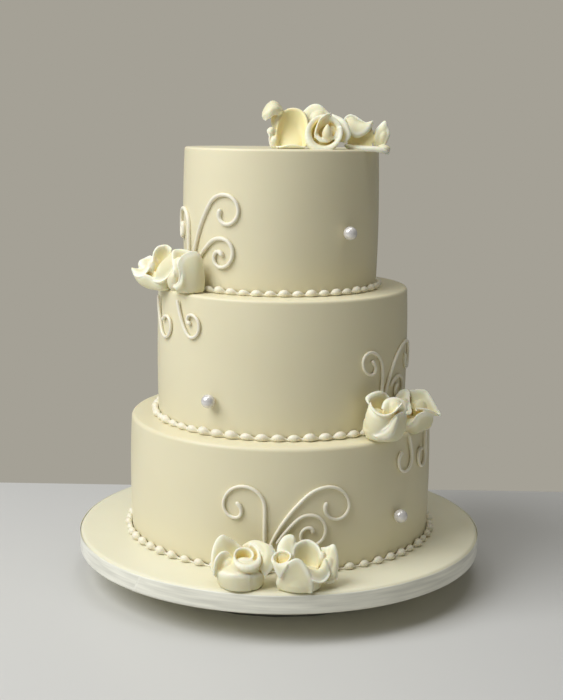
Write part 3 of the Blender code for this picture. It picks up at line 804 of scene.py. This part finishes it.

# Some roses list petals whose insides also get the painted gold glow.
roses = {
    "rose_front_left": {
        "place": ("board", -26, -147),
        "drum": [(0, 13.5, 11, 0, -7), (1.5, 15.5, 12.6, 0, -7), (5, 16.5, 13.3, 0, -7), (11, 16.6, 13.2, 0, -6.8),
                 (13.5, 14.5, 11.5, 0, -6), (17, 9, 8, 1, -5)],
        "lumps": [(3, -8.5, 13.4, 11, 9.3, 8.8, 0), (-9, -3, 13, 7, 7, 8, 0), (12, -2, 13, 7, 8, 8, 0)],
        "buds": [((3.0, -6.8, 23.5), 10.4, 13, 31, 8, 1.55, 0.7, 3.7, 6)],
        "petals": [
            ([(-15, -9, 0.5), (-8, -17, 0.5), (0, -19.5, 0.5), (8.2, -17.8, 0.5)], (-2, -1, 0),
             [(-17, -9, 11), (-12, -15, 12), (-4, -18.7, 12.5), (7.6, -18.4, 12.6)], 0.4, 90, (0, 1, 0)),
            ([(6, -17.2, 0.5), (11.5, -14.6, 0.5), (15.5, -7, 0.5)], (1.5, -1, 0),
             [(5.4, -17.4, 12.3), (11, -15.8, 12), (16.5, -9, 11.5)], 0.4, 90, (0, 1, 0)),
            ([(-15, -11, 7), (-12, -8, 7), (-7, -8, 9)], (-2.5, 2, -1),
             [(-19.4, -12, 10), (-18.7, -11, 17.4), (-16.2, -9, 22.4), (-12.7, -6, 24.4), (-9, -4, 22.8),
              (-6.1, -4, 18.9)], 0.9, 140, (-0.6, 1, 0)),
            ([(-16, -6, 4), (-14, -2, 6), (-9, -1, 8), (-3, 0, 8)], (-2, -4, 2),
             [(-21.6, -5, 11.2), (-21.8, -2, 19.4), (-20.8, 1, 25.1), (-18.3, 4, 30.4), (-14.6, 6, 33),
              (-10.5, 7, 31), (-5, 9, 27), (0.6, 9, 23)], 1.4, 140, (0.2, 1, 0)),
            ([(2, 3, 15), (8, 1, 17), (12, -2, 16), (13, -7, 13), (11, -11, 10)], (-2, -1, 11),
             [(1.2, 6, 25), (6.5, 6.5, 28.4), (11.6, 5, 30), (16.9, 2, 29.5), (21.3, -2, 28.6), (23.7, -6, 24),
              (23.4, -9, 19), (21, -11, 14), (17.5, -13, 9.7)], 1.3, 120, (1, 0.2, -0.6)),
        ],
    },
    "rose_front_right": {
        "place": ("board", 16.5, -148),
        "drum": [(0, 14, 10.5, 0, -8), (1.5, 16, 12, 0, -8), (5, 16.8, 12.4, 0, -7.8), (10, 16.5, 12, 0, -7),
                 (14, 13, 9, 0, -6)],
        "lumps": [(-7, -5, 11, 8, 7, 7, 0), (8, -4, 8, 8, 8, 7, 0), (-5, 4, 16, 6, 4, 8, 0), (22, -2, 13, 5, 4, 9, 0),
                  (17, 1, 19, 3, 3.5, 6, 0)],
        "buds": [((-12.8, -9.5, 23.8), 6.4, 14, 28, -25, 1.0, 0.6, 1.0, -20)],
        "petals": [
            ([(-14, -4, 14), (-9, -6, 14), (-4, -4, 14)], (0, -5, 2),
             [(-16, -2, 23.2), (-15.6, 1, 27.4), (-13, 4, 31.7), (-10.1, 6, 34), (-6.8, 7, 34.6), (-4.2, 6, 33.4),
              (-3.1, 4, 29.4), (-3.5, 2, 24.7)], 1.5, 140, (0, 1, 0)),
            ([(-2, -6, 8), (6, -2, 7), (13, -5, 8)], (0, 5, -5),
             [(-4.2, -4, 22.4), (-3.5, 0, 27), (0.6, 5, 29.4), (5.4, 7, 30), (9.8, 6, 28.9), (14.2, 3, 26.3),
              (16, -1, 22.8)], 1.1, 130, (0, 1, 0.2)),
            ([(14, 3, 14), (17, 0, 12), (19, -4, 9), (18, -8, 5)], (2, -5, 3),
             [(15.7, 6, 25.8), (20.8, 6, 26.4), (25.2, 4, 28.8), (27.3, 1, 24.3), (28.2, -2, 18.5), (28, -4, 12.3),
              (27.4, -5, 6.6), (23, -7, 4), (19.3, -8, 5)], 0.9, 110, (0.2, 1, 0)),
            ([(3, -9, 8), (9, -8, 7), (15, -5, 9)], (1, 1, 13.5),
             [(5.5, -16, 14.8), (10, -17, 10.6), (15.4, -15.5, 8.4), (19.6, -12, 9.6), (21.6, -8, 13.2),
              (20, -4, 18.5)], 1.2, 120, (0.4, -1, -0.8)),
            ([(-15, -12, 0.5), (-8, -17.5, 0.5), (0, -19, 0.5), (8, -18, 0.5)], (0, -1.2, 0),
             [(-16.5, -12, 5), (-14, -15, 11), (-10.8, -16.5, 17), (-7.6, -16.5, 21.6), (-3.5, -16, 24),
              (0.2, -16, 23.4), (3.9, -17, 19.5), (6.8, -18, 14.4), (9.2, -18.3, 8.4), (9.6, -18, 0.5)],
             0.9, 110, (0.3, 1, 0)),
            ([(-19, -13, 23.6), (-14.5, -16, 21.4), (-8, -16.5, 21.4)], (0, -2, 1.5),
             [(-18.6, -15, 19.8), (-16.4, -17.6, 15.4), (-14, -18.6, 12), (-11.8, -18.6, 15.2), (-8.8, -18, 20)],
             0.5, 60, (0, 1, 0)),
        ],
    },
    "rose_left_inner": {
        "place": ("middle", -73, -60),
        "drum": [(0, 8, 8, 2, -4), (2, 10, 9.5, 2, -4), (8, 11, 9.5, 2, -3), (14, 9, 8, 2, -2), (20, 6, 6, 1, 0)],
        "lumps": [(1, -2, 17, 9, 7, 11, 0), (-4, -4, 10, 7, 7, 9, 0), (-6.5, -6, 16, 5, 5.5, 12, 0),
                  (-9.5, -7, 9, 6, 5, 8, 0)],
        "buds": [],
        "petals": [
            ([(-7, -11, 0.5), (0, -13, 0.5), (7, -11, 0.5), (12, -5, 0.5)], (1, -4, 0),
             [(-9.7, -13, 4.7), (-4.6, -14, 8.8), (-3, -14, 14.8), (-4.4, -12, 21.6), (-2.7, -9, 26.6),
              (2.3, -7, 29.5), (7.5, -5, 30), (10.5, -3, 26.6), (12.2, -2, 18.8), (13.2, -2, 9.4), (12.3, -3, 3.3)],
             1.6, 130, (-1, -0.5, 0)),
            ([(-8, -8, 5), (-4, -6, 8), (2, 0, 8), (6, 2, 8)], (-1, -4, 3),
             [(-9.5, -11, 17), (-11.1, -6, 25), (-11.4, 0, 30.6), (-8.1, 4, 31.6), (-2.9, 6, 31.2), (3.4, 6, 29.8)],
             1.2, 130, (-0.3, 1, 0)),
            ([(-7, 2, 3), (0, 6, 3), (8, 4, 3)], (0, 4, 0),
             [(-10, 6, 20), (-3, 10, 25), (4, 10, 25), (10, 6, 19)], 1.2, 130, (0, 1, 0)),
        ],
    },
    "rose_left_outer": {
        "place": ("middle", -91, -38),
        "drum": [(-0.3, 6, 6, -1, -3), (2, 8.5, 8, -2, -3), (8, 10, 8.5, -3, -3), (13, 8, 7, -3, -2)],
        "lumps": [(2, -3, 14, 7, 7, 10, -20), (-15, -1, 9, 7, 4.5, 3.5, 20), (-11, 3, 15, 6, 4, 9, 0),
                  (-13.2, -1.6, 14.6, 5, 4, 7, 0)],
        "buds": [],
        "petals": [
            ([(-8, -4, 12), (-4, 0, 14), (2, -1, 16)], (0, 5, -1),
             [(-11.4, -4, 20.2), (-11.1, 1, 25.9), (-8.6, 4, 30.3), (-4.4, 6, 31.8), (-0.4, 6, 31.6), (3.1, 3, 29.7)],
             1.0, 130, (0, 1, 0)),
            ([(3.6, 2, 29), (0.8, -2, 25.6), (-2.8, -6, 22.2), (-6.2, -9, 18.4), (-8, -10, 13.6)], (2, -2, 2),
             [(7.7, -9, 17.8), (4, -12, 13.4), (0, -13.5, 9.4), (-4.8, -13, 7.6), (-9.6, -11, 7.8)],
             1.9, 160, (0, -1, -0.6)),
            ([(-11, 1, 17), (-11, -3, 13)], (1, 0, 4),
             [(-13.8, 4, 24.6), (-18.2, 4, 22.7), (-21.4, 2, 21.2), (-22, 0, 18.1), (-19.4, -3, 16.1)],
             1.5, 160, (-0.4, 0.6, -1)),
            ([(-28.4, 0, 14.9), (-23.8, 0, 14.6), (-18.2, 0, 16.3), (-13.9, 2, 20.4), (-12, 4, 24.4)], (-1, -2, 2),
             [(-27.8, -2.5, 13.7), (-24.8, -6, 11.2), (-20.6, -8, 10.2), (-16.7, -7.5, 12.1), (-13.9, -5, 16),
              (-12, -1, 22)], 1.1, 120, (0, -0.6, -1)),
            ([(-9, -1, 0), (-7, -5, -0.5), (-3, -9, -0.5), (3, -9, 0.5)], (-5, -4, -6),
             [(-28, -2, 13.8), (-25.6, -5, 11), (-20.8, -8, 9.8), (-15.8, -9.5, 10.6), (-10.4, -11, 8.6),
              (-2.4, -12.5, 7.4), (3.1, -12, 10.9)], 0.8, 60, (0, 1, 0.5)),
        ],
    },
    "rose_right_inner": {
        "place": ("bottom", 78.5, -88),
        "drum": [(0, 8, 8, 0, -7), (2, 11, 10, -1, -7), (8, 14, 11.5, -1, -7), (15, 14, 11, 0, -6), (19, 11, 9, 0, -6)],
        "lumps": [(9, -7, 21, 8.5, 6.5, 11, 0), (-4, -5, 16, 7, 7, 8, 0)],
        "buds": [],
        "petals": [
            ([(-6, -6, 14), (0, -3, 14), (5, 0, 16)], (-3, 4, -2),
             [(-10.4, -9, 27.8), (-9.6, -6, 30.6), (-6, -3, 33), (-1.2, 0, 33.8), (3, 3, 32.2), (6.4, 3, 30)],
             1.9, 160, (-1, 0.4, 0)),
            ([(2, -12, 16), (6, -13, 15), (11, -12, 15), (15, -10, 14)], (0, -3, 6),
             [(-1, -12, 25), (1.4, -8, 30), (6.8, -5, 32), (13, -4.4, 31.2), (17.4, -5.4, 28), (18.8, -8, 23)],
             1.5, 110, (0, 1, 0)),
            ([(-9, -8, 1), (-5, -13, 0.5), (1, -16, 0.5), (6, -15, 0.5)], (-7.5, -4, 0),
             [(-9.9, -10, 29), (-8.6, -13, 24.3), (-4.9, -16, 21.1), (0.3, -17.5, 19.9), (5.8, -17, 21.7),
              (10.5, -15, 25.6), (13.8, -12, 29.6)], 2.3, 165, (-0.3, -1, 0)),
            ([(4, -15.5, 0.5), (10, -12, 0.5), (14, -7, 1)], (3, -4, -1),
             [(-6.5, -17, 5.1), (-0.5, -18.5, 8.4), (4.4, -19, 12.9), (7.2, -18.5, 17.9), (10.4, -17, 21.3),
              (15.2, -13, 22.3), (17.8, -9, 19.2)], 1.2, 100, (0.7, -1, -0.2)),
            ([(-7, -17, 5), (-0.5, -18.8, 8.6), (4.4, -19.4, 13.2), (7.4, -19, 18.2), (10.4, -17.4, 21.6)], (0.6, -2, 1),
             [(-4.2, -18, 3.4), (1.8, -20, 4.4), (6.6, -20.8, 8.2), (9, -20, 13.6), (10.4, -18, 19)],
             0.6, 90, (0, 1, 0)),
            ([(-8, -4, 3), (-2, 3, 3), (8, 3, 3), (13, -3, 3)], (0, 3, 1),
             [(-12, -3, 18), (-4, 6, 24), (9, 6, 24), (16, -1, 18)], 1.2, 130, (0, 1, 0)),
        ],
    },
    "rose_right_outer": {
        "place": ("bottom", 103, -58),
        "drum": [(-0.3, 6, 6, 2, -3), (2, 8, 8, 3, -3), (6, 9, 8.5, 4, -3), (10, 7, 7, 4, -2)],
        "lumps": [(-5, -1, 14, 6, 6, 11, 0), (8, 2, 14, 6, 4, 9, 0)],
        "buds": [],
        "petals": [
            ([(0, 2, 16), (3, 0, 15), (4, -3, 15)], (3, 1, -2),
             [(-0.2, 8, 28.5), (5.4, 8, 29.2), (12.4, 7, 28.8), (16.1, 4, 24.3), (19.8, 1, 18), (23.7, -2, 11.6),
              (17.5, -7, 15.2), (10.9, -9, 18.1), (3.7, -9, 18.5)], 0.8, 100, (0.2, 1, -0.5)),
            ([(-9, -4, 10), (-6, -6, 10), (-4, -6, 10)], (-1, -2, 4),
             [(-11.9, 2, 24.3), (-8.4, 5, 28.1), (-3.5, 7, 29.2), (-1.3, 5, 27.7), (-2.1, 0, 23.2), (-1.4, -5, 18.8),
              (-1, -9, 14.2), (-6.2, -9, 13.8)], 0.9, 130, (1, -0.4, 0)),
            ([(-3, -7, 0), (3, -8, -1), (9, -5, -1), (12, 0, 0)], (3, -4, -6),
             [(-5, -9, 0.9), (-0.4, -11, 5.1), (3.5, -11.5, 7.3), (5.2, -11, 10.8), (7.6, -10, 13.4), (12.5, -8, 14.5),
              (18.2, -5, 12.2)], 1.4, 130, (-1, -0.5, 0.4)),
            ([(-6, 0, 3), (0, 5, 3), (8, 4, 3), (12, 0, 3)], (0, 3, 0),
             [(-8, 5, 17), (0, 9, 22), (9, 8, 21), (15, 3, 14)], 1.2, 130, (0, 1, 0)),
        ],
    },
    "rose_top_left": {
        "place": ("top", 4, -44),
        "drum": [(0, 9, 6, 1, 4), (2, 11, 7, 1, 4), (8, 11, 6, 1, 5), (13, 9, 4, 1, 6), (16, 6, 3, 1, 7)],
        "lumps": [(-13, 1.5, 29.3, 6.4, 4, 5.6, -30), (-9.4, 1.5, 18.5, 4.6, 4, 11.5, -8), (-13.6, -6, 12.6, 3.1, 3, 3.6, 10),
                  (-11.6, -8, 4.6, 3.4, 3, 4.8, 15)], "gilt": [0],
        "buds": [],
        "petals": [
            ([(-7, -9, 1), (1, -10, 0.8), (9, -9, 1)], (0, 9, -3),
             [(-9.8, -10, 2), (-9.6, -8, 9), (-8.6, -4, 17), (-5.7, 0, 24.4), (-1.5, 3, 28.2), (4, 4, 29),
              (8.8, 3, 27.4), (12.2, 0, 23), (13.6, -4, 16), (13.3, -8, 7), (12.6, -10, 1.5)], 1.2, 130, (0, 1, 0)),
            ([(-20.6, 1, 23), (-20.6, 2, 27), (-18, 3, 32.2), (-14.7, 3.5, 35.2), (-12.3, 4, 35.7), (-9.2, 4, 34.4),
              (-6.9, 3, 31.6), (-5, 2, 28.4)], (0, -8, 1.5),
             [(-20.4, -2, 22.6), (-19, -4, 22), (-17, -6, 22.2), (-14.7, -7, 23.8), (-12.3, -6.5, 26), (-9.8, -5, 26.8),
              (-7.4, -2, 26.6), (-5.4, 0, 27)], 0.8, 120, (0, 0.4, -1)),
            ([(-9, -2, 14), (-9, -4, 8), (-8, -7, 2)], (0, -2, 0),
             [(-13.5, -4, 16), (-15.4, -6, 13.4), (-13.6, -7, 9.6), (-13.8, -8, 6), (-12.6, -9, 2), (-10, -10, 0.8)],
             1.2, 140, (-1, -0.6, 0)),
            ([(-8, -10, 0.6), (2, -12, 0.6), (11, -10, 0.6)], (0, -1, 0),
             [(-10, -12, 1.4), (2, -14.5, 1.8), (13, -12, 1.6)], 0.7, 110, (0, -0.3, -1)),
            ([(-8, 3, 3), (0, 8, 3), (9, 6, 3)], (0, 4, 0),
             [(-9, 7, 16), (0, 12, 22), (11, 9, 17)], 1.2, 130, (0, 1, 0)),
        ],
    },
    "rose_top_middle": {
        "place": ("top", 31.5, -40),
        "drum": [(0, 8, 9, 0, 0), (2, 10, 10, 0, 0), (9, 11, 9, 0, 1), (15, 10, 7, 0, 2), (19, 7, 5, 0, 3)],
        "lumps": [(-5, 2, 20, 8, 5, 9, 0), (8, 0, 13, 7, 7, 9, 0)],
        "point": ((1.8, -12, 12.4), 4.1, 13.8, 12, 0),
        "buds": [((-0.4, -10.5, 12.2), 10.6, 13, 74, 0, 1.0, 2.3, 3.2, -40), ((1.2, -9.5, 13.4), 7.2, 9, 70, 6, 0.8, 0.9, 1.6, -60)],
        "petals": [
            ([(-11, 0, 15), (-5, 1, 15), (2, 1, 15)], (0, -4, 6),
             [(-17, 5, 27.6), (-13.4, 7, 31), (-10.3, 8, 33), (-6.4, 8, 33.6), (-2.6, 7, 32.2), (0.5, 6, 29.5),
              (3.6, 4, 26.5)], 1.2, 130, (0, 1, 0)),
            ([(-6.5, -7, 5), (-6, -7, 12), (-3, -6, 16), (1, -5, 18)], (-1, -1, 1),
             [(-7.2, -12, 8), (-7.4, -12.5, 13), (-6, -12.5, 18), (-3.4, -12, 22), (0, -11, 25.2), (3.8, -10, 27.6)],
             0.6, 90, (-1, 0, 0.6)),
            ([(8, 0, 4), (9, -2, 10), (6, 0, 16)], (2, -2, 2),
             [(15, -9, 4.6), (17.4, -8, 9.7), (16.6, -6, 15), (14.4, -3, 20.2), (9.8, 0, 23.4), (5, 2, 26)],
             1.5, 140, (1, 0.6, 0)),
            ([(-8, 3, 3), (0, 8, 3), (9, 6, 3)], (0, 4, 0),
             [(-10, 7, 18), (0, 12, 24), (11, 9, 18)], 1.2, 130, (0, 1, 0)),
        ],
    },
    "rose_top_right": {
        "place": ("top", 59, -27),
        "drum": [(0, 8, 8, 0, 1), (1.5, 9.5, 9, 0, 1), (5, 9, 8, 0, 2), (9, 8, 5, 0, 4)],
        "gilt": [5],
        "lumps": [(-4, 3, 14, 7, 4, 8, 0), (6, 2, 11, 6, 3.5, 6, 0), (18, -3, 7, 3.6, 2.6, 7, 14), (19, -10.6, 1, 5.2, 4.4, 2.8, 8),
                  (3, -13, 0.9, 14, 4, 1.8, 0)],
        "buds": [],
        "petals": [
            ([(-8, 0, 6), (0, 1, 6), (8, 0, 6)], (0, 1, 2),
             [(-13, 1, 20), (-10.5, 3, 24), (-6.9, 4, 25.6), (-3, 4, 24.4), (0.9, 3, 21.8), (4.9, 2, 19.5),
              (8, 1, 20.3), (11.2, 0, 21.6)], 0.8, 100, (0, 1, 0)),
            ([(-11, 1, 22.5), (-6, 2, 24.4), (0, 1, 21.4), (6, 0, 19.2), (10, -1, 20)], (0, -2, 4),
             [(-8.5, -7, 15.2), (-5.6, -9.5, 11.8), (-2, -10, 10.8), (2.5, -9, 12.9), (7.2, -7, 16.2), (10.2, -3, 19.4)],
             1.5, 140, (0, 0.3, -1)),
            ([(11, -3, 3), (15, -4, 2), (19, -3, 2)], (0, -4, 0),
             [(12.4, -2, 7.7), (12.8, -1, 13.9), (15.9, 0, 17.8), (20.2, 1, 21.4), (21.8, 0, 17), (23.4, -2, 11.6),
              (21.4, -3, 6.1)], 0.7, 110, (0, 1, 0)),
            ([(-9, -6, 0.6), (0, -8, 0.4), (10, -8, 0.6), (17, -5, 1)], (0, 0, 3),
             [(-12, -12, 3), (-6, -15, 1.9), (3, -17, 1.2), (11, -17, 0.8), (18, -15.5, 0), (22.6, -11, -1.2),
              (21.4, -6, 2.4)], 1.5, 140, (0.3, -0.6, -1)),
            ([(-8, 3, 3), (0, 8, 3), (9, 5, 3)], (0, 4, 0),
             [(-9, 7, 14), (0, 11, 18), (10, 8, 14)], 1.2, 130, (0, 1, 0)),
            ([(-9, -7, 0.5), (0, -8, 0.5), (10, -7, 0.5)], (0, 2, 0),
             [(-10, -4, 12), (0, -4, 11), (11, -3, 14)], 0.6, 100, (0, 1, 0)),
        ],
    },
}


def through(points, share):
    # Point on a smooth curve through all the points.
    last = len(points) - 1
    k = min(int(share * last), last - 1)
    t = share * last - k
    before, start, end, after = (points[min(max(k + j, 0), last)] for j in (-1, 0, 1, 2))
    weights = (-0.5 * t + t**2 - 0.5 * t**3, 1 - 2.5 * t**2 + 1.5 * t**3,
               0.5 * t + 2 * t**2 - 1.5 * t**3, -0.5 * t**2 + 0.5 * t**3)
    return sum((w * p for w, p in zip(weights, (before, start, end, after))), Vector((0, 0, 0)))


def rollRim(column, outward, radius, curl, steps):
    # Carries a column of points on round a small roll towards its outside.
    ahead = (column[-1] - column[-2]).normalized()
    away = outward - ahead * outward.dot(ahead)
    away = away.normalized() if away.length > 1e-9 else ahead.orthogonal()
    base = column[-1]
    for k in range(1, steps + 1):
        angle = math.radians(curl) * k / steps
        column.append(base + ahead * radius * math.sin(angle) + away * radius * (1 - math.cos(angle)))


def addSheet(bm, columns):
    grid = [[bm.verts.new(point) for point in column] for column in columns]
    for near, far in zip(grid, grid[1:]):
        for j in range(len(near) - 1):
            bm.faces.new((near[j], near[j + 1], far[j + 1], far[j]))


def petalSheet(bm, rims, gilt, look, seed, root, swell, lip, roll, curl, outward):
    roots, lips = [Vector(p) * mm for p in root], [Vector(p) * mm for p in lip]
    swell, outward = Vector(swell) * mm, Vector(outward).normalized()
    columns = []
    for i in range(look["across"] + 1):
        across = i / look["across"]
        low, high = through(roots, across), through(lips, across)
        wave = look["ruffle"] * math.sin(9 * across + 2.1 * seed)
        middle = (low + high) / 2 + swell
        column = []
        for j in range(look["along"] + 1):
            s = j / look["along"]
            point = low * (1 - s) ** 2 + middle * 2 * s * (1 - s) + high * s**2
            column.append(point + outward * wave * s**3)
            if gilt is not None:
                gilt.append((column[-1], -outward))
        ends = min(1.0, 4 * across, 4 * (1 - across))
        rims.append(column[-1])
        rollRim(column, outward, roll * mm * (0.35 + 0.65 * smoothStep(0, 1, ends)), curl, look["rimSteps"])
        rims.append(column[-1 - look["rimSteps"] // 2])
        columns.append(column)
    addSheet(bm, columns)


def budSheet(bm, rims, look, mouth, radius, length, tilt, turn, winds, rim, flap, flapTurn):
    lean = tipped(tilt, turn)
    middle = Vector(mouth) * mm
    columns = []
    count = round(look["steps"] * winds)
    for i in range(count + 1):
        wound = i / count
        swing = turn + flapTurn + 150 - 360 * winds * wound
        size = radius * (1 - look["shrink"] * wound * min(1, max(0, winds - 1) / 0.5)) * mm
        dip = -1.2 * mm * wound
        column = []
        for j in range(look["along"] + 1):
            s = j / look["along"]
            reach = size * (look["foot"] + (1 - look["foot"]) * math.sin(0.5 * math.pi * s) ** 0.9)
            column.append(middle + lean @ around(swing, reach, dip - length * mm * (1 - s)))
        facing = max(0.0, math.cos(math.radians(swing - turn - flapTurn))) ** 1.5 * (1 - smoothStep(0.4, 0.7, wound))
        roll = (rim + (flap - rim) * facing) * mm
        rims.append(column[-1])
        rollRim(column, lean @ around(swing, 1, 0), roll, 120 + 50 * facing, petalLook["rimSteps"])
        rims.append(column[-3])
        columns.append(column)
    addSheet(bm, columns)


def closeRows(bm, rows):
    for low, high in zip(rows, rows[1:]):
        count = max(len(low), len(high))
        for k in range(count):
            corners = []
            for vert in (low[(k - 1) % len(low)], low[k % len(low)], high[k % len(high)], high[(k - 1) % len(high)]):
                if vert not in corners:
                    corners.append(vert)
            bm.faces.new(corners)


def bulb(bm, mouth, radius, length, tilt, turn):
    # Closed pointed bud.
    lean = tipped(tilt, turn)
    rows = []
    for j in range(11):
        s = j / 10
        wide = radius * mm * math.sin(math.pi * s**0.75) ** 0.8 if 0 < j < 10 else 0
        height = (s - 0.5) * length * mm
        ring = [Vector(mouth) * mm + lean @ around(360 * k / 20, wide, height) for k in range(20 if wide else 1)]
        rows.append([bm.verts.new(point) for point in ring])
    closeRows(bm, rows)


def cutFoot(bm, rings):
    rows = []
    for height, wide, deep, x, y in [(rings[0][0], 0, 0, *rings[0][3:]), *rings, (rings[-1][0], 0, 0, *rings[-1][3:])]:
        spots = [around(360 * k / 48, 1, 0) for k in range(48 if wide else 1)]
        rows.append([bm.verts.new(Vector((x + wide * p.x * (1 if wide else 0), y + deep * p.y, height)) * mm)
                     for p in spots])
    closeRows(bm, rows)


def lump(bm, x, y, z, wide, deep, tall, tilt):
    bmesh.ops.create_uvsphere(bm, u_segments=24, v_segments=14, radius=1, matrix=(
        Matrix.Translation(Vector((x, y, z)) * mm) @ Matrix.Rotation(math.radians(tilt), 4, "Y")
        @ Matrix.Diagonal((wide * mm, deep * mm, tall * mm, 1))))


def writeValues(mesh, name, values):
    layer = mesh.attributes.new(name, "FLOAT", "POINT")
    layer.data.foreach_set("value", values)


def evenOut(mesh, values, times):
    for _ in range(times):
        total, count = list(values), [1] * len(values)
        for edge in mesh.edges:
            a, b = edge.vertices
            total[a] += values[b]
            total[b] += values[a]
            count[a] += 1
            count[b] += 1
        values = [t / c for t, c in zip(total, count)]
    return values


def shadeHollows(mesh, reach, rays, gilt):
    # Painted glow: the deeper a spot lies between the petals, the more it is tinted gold, standing in for light shining
    # through the thin paste and bouncing in the hollows.
    glowFinder = glowInsideTree(gilt)
    bm = bmesh.new()
    bm.from_mesh(mesh)
    tree = BVHTree.FromBMesh(bm)
    bm.free()
    spokes = []
    for k in range(rays):
        z = 1 - (k + 0.5) / rays
        flat, angle = math.sqrt(1 - z * z), 2.39996 * k
        spokes.append(Vector((flat * math.cos(angle), flat * math.sin(angle), z)))
    values = []
    for vert in mesh.vertices:
        normal = vert.normal
        turnTo = Vector((0, 0, 1)).rotation_difference(normal).to_matrix()
        start = vert.co + normal * 0.4 * mm
        closed = 0.0
        for spoke in spokes:
            if tree.ray_cast(start, turnTo @ spoke, reach)[0] is not None:
                closed += 1
        share = closed / rays
        if gilt:
            _, k, apart = glowFinder.find(vert.co)
            if apart < 2 * mm and normal.dot(gilt[k][1]) > 0.1:
                share = max(share, 0.8)
        values.append(share)
    writeValues(mesh, "paintedGlow", evenOut(mesh, values, 3))


def glowInsideTree(gilt):
    # Samples of the insides of chosen petals that get the painted gold glow, each with the way its inside faces.
    tree = KDTree(len(gilt))
    for k, (point, _) in enumerate(gilt):
        tree.insert(point, k)
    tree.balance()
    return tree


# Painted highlight: the closer a spot lies to a rolled rim, the whiter it is painted, as if the edge caught the light.
def markRims(mesh, rims, reach):
    tree = KDTree(len(rims))
    for k, point in enumerate(rims):
        tree.insert(point, k)
    tree.balance()
    values = [1 - smoothStep(0.15 * reach, reach, tree.find(vert.co)[2]) for vert in mesh.vertices]
    writeValues(mesh, "rim", values)


def sugarRose(name, spec, look):
    ledge, x, y = spec["place"]
    stand = Vector((x * mm, y * mm, cake["ledges"][ledge] + cake["gap"]))
    bm = bmesh.new()
    rims = []
    gilt = []
    for seed, petal in enumerate(spec["petals"]):
        petalSheet(bm, rims, gilt if seed in spec.get("gilt", ()) else None, look, seed, *petal)
    for bud in spec["buds"]:
        budSheet(bm, rims, budLook, *bud)
    words = name.split("_")
    label = words[0] + "".join(word.capitalize() for word in words[1:])
    petals = meshObject(label, bm, sugarPaste)
    wall = petals.modifiers.new("paste", "SOLIDIFY")
    wall.thickness = look["thickness"]
    wall.offset = 0
    petals = settle(petals)
    bm = bmesh.new()
    bm.from_mesh(petals.data)
    solid = bmesh.new()
    cutFoot(solid, spec["drum"])
    for paste in spec["lumps"]:
        lump(solid, *paste)
    if "point" in spec:
        bulb(solid, *spec["point"])
    bmesh.ops.recalc_face_normals(solid, faces=solid.faces)
    core = bpy.data.meshes.new(label + "Core")
    solid.to_mesh(core)
    solid.free()
    bm.from_mesh(core)
    bpy.data.meshes.remove(core)
    bmesh.ops.translate(bm, verts=bm.verts, vec=stand)
    bm.to_mesh(petals.data)
    bm.free()
    # The paste is one piece, so the petals and their heart are joined into one skin and softened.
    skin = petals.modifiers.new("skin", "REMESH")
    skin.mode = "VOXEL"
    skin.voxel_size = look["voxel"]
    soft = petals.modifiers.new("soft", "SMOOTH")
    soft.factor = 0.5
    soft.iterations = 3
    petals = settle(petals)
    petals.data.materials.clear()
    petals.data.materials.append(sugarPaste)
    petals.data.shade_smooth()
    petals.data.update()
    # Painted glow in the hollows, then painted highlights along the rims.
    shadeHollows(petals.data, 10 * mm, 12, [(point + stand, way) for point, way in gilt])
    markRims(petals.data, [point + stand for point in rims], look["rimReach"])
    place(petals, "sugar_paste", name)


for name, spec in roses.items():
    sugarRose(name, spec, petalLook)
print("roses ready")
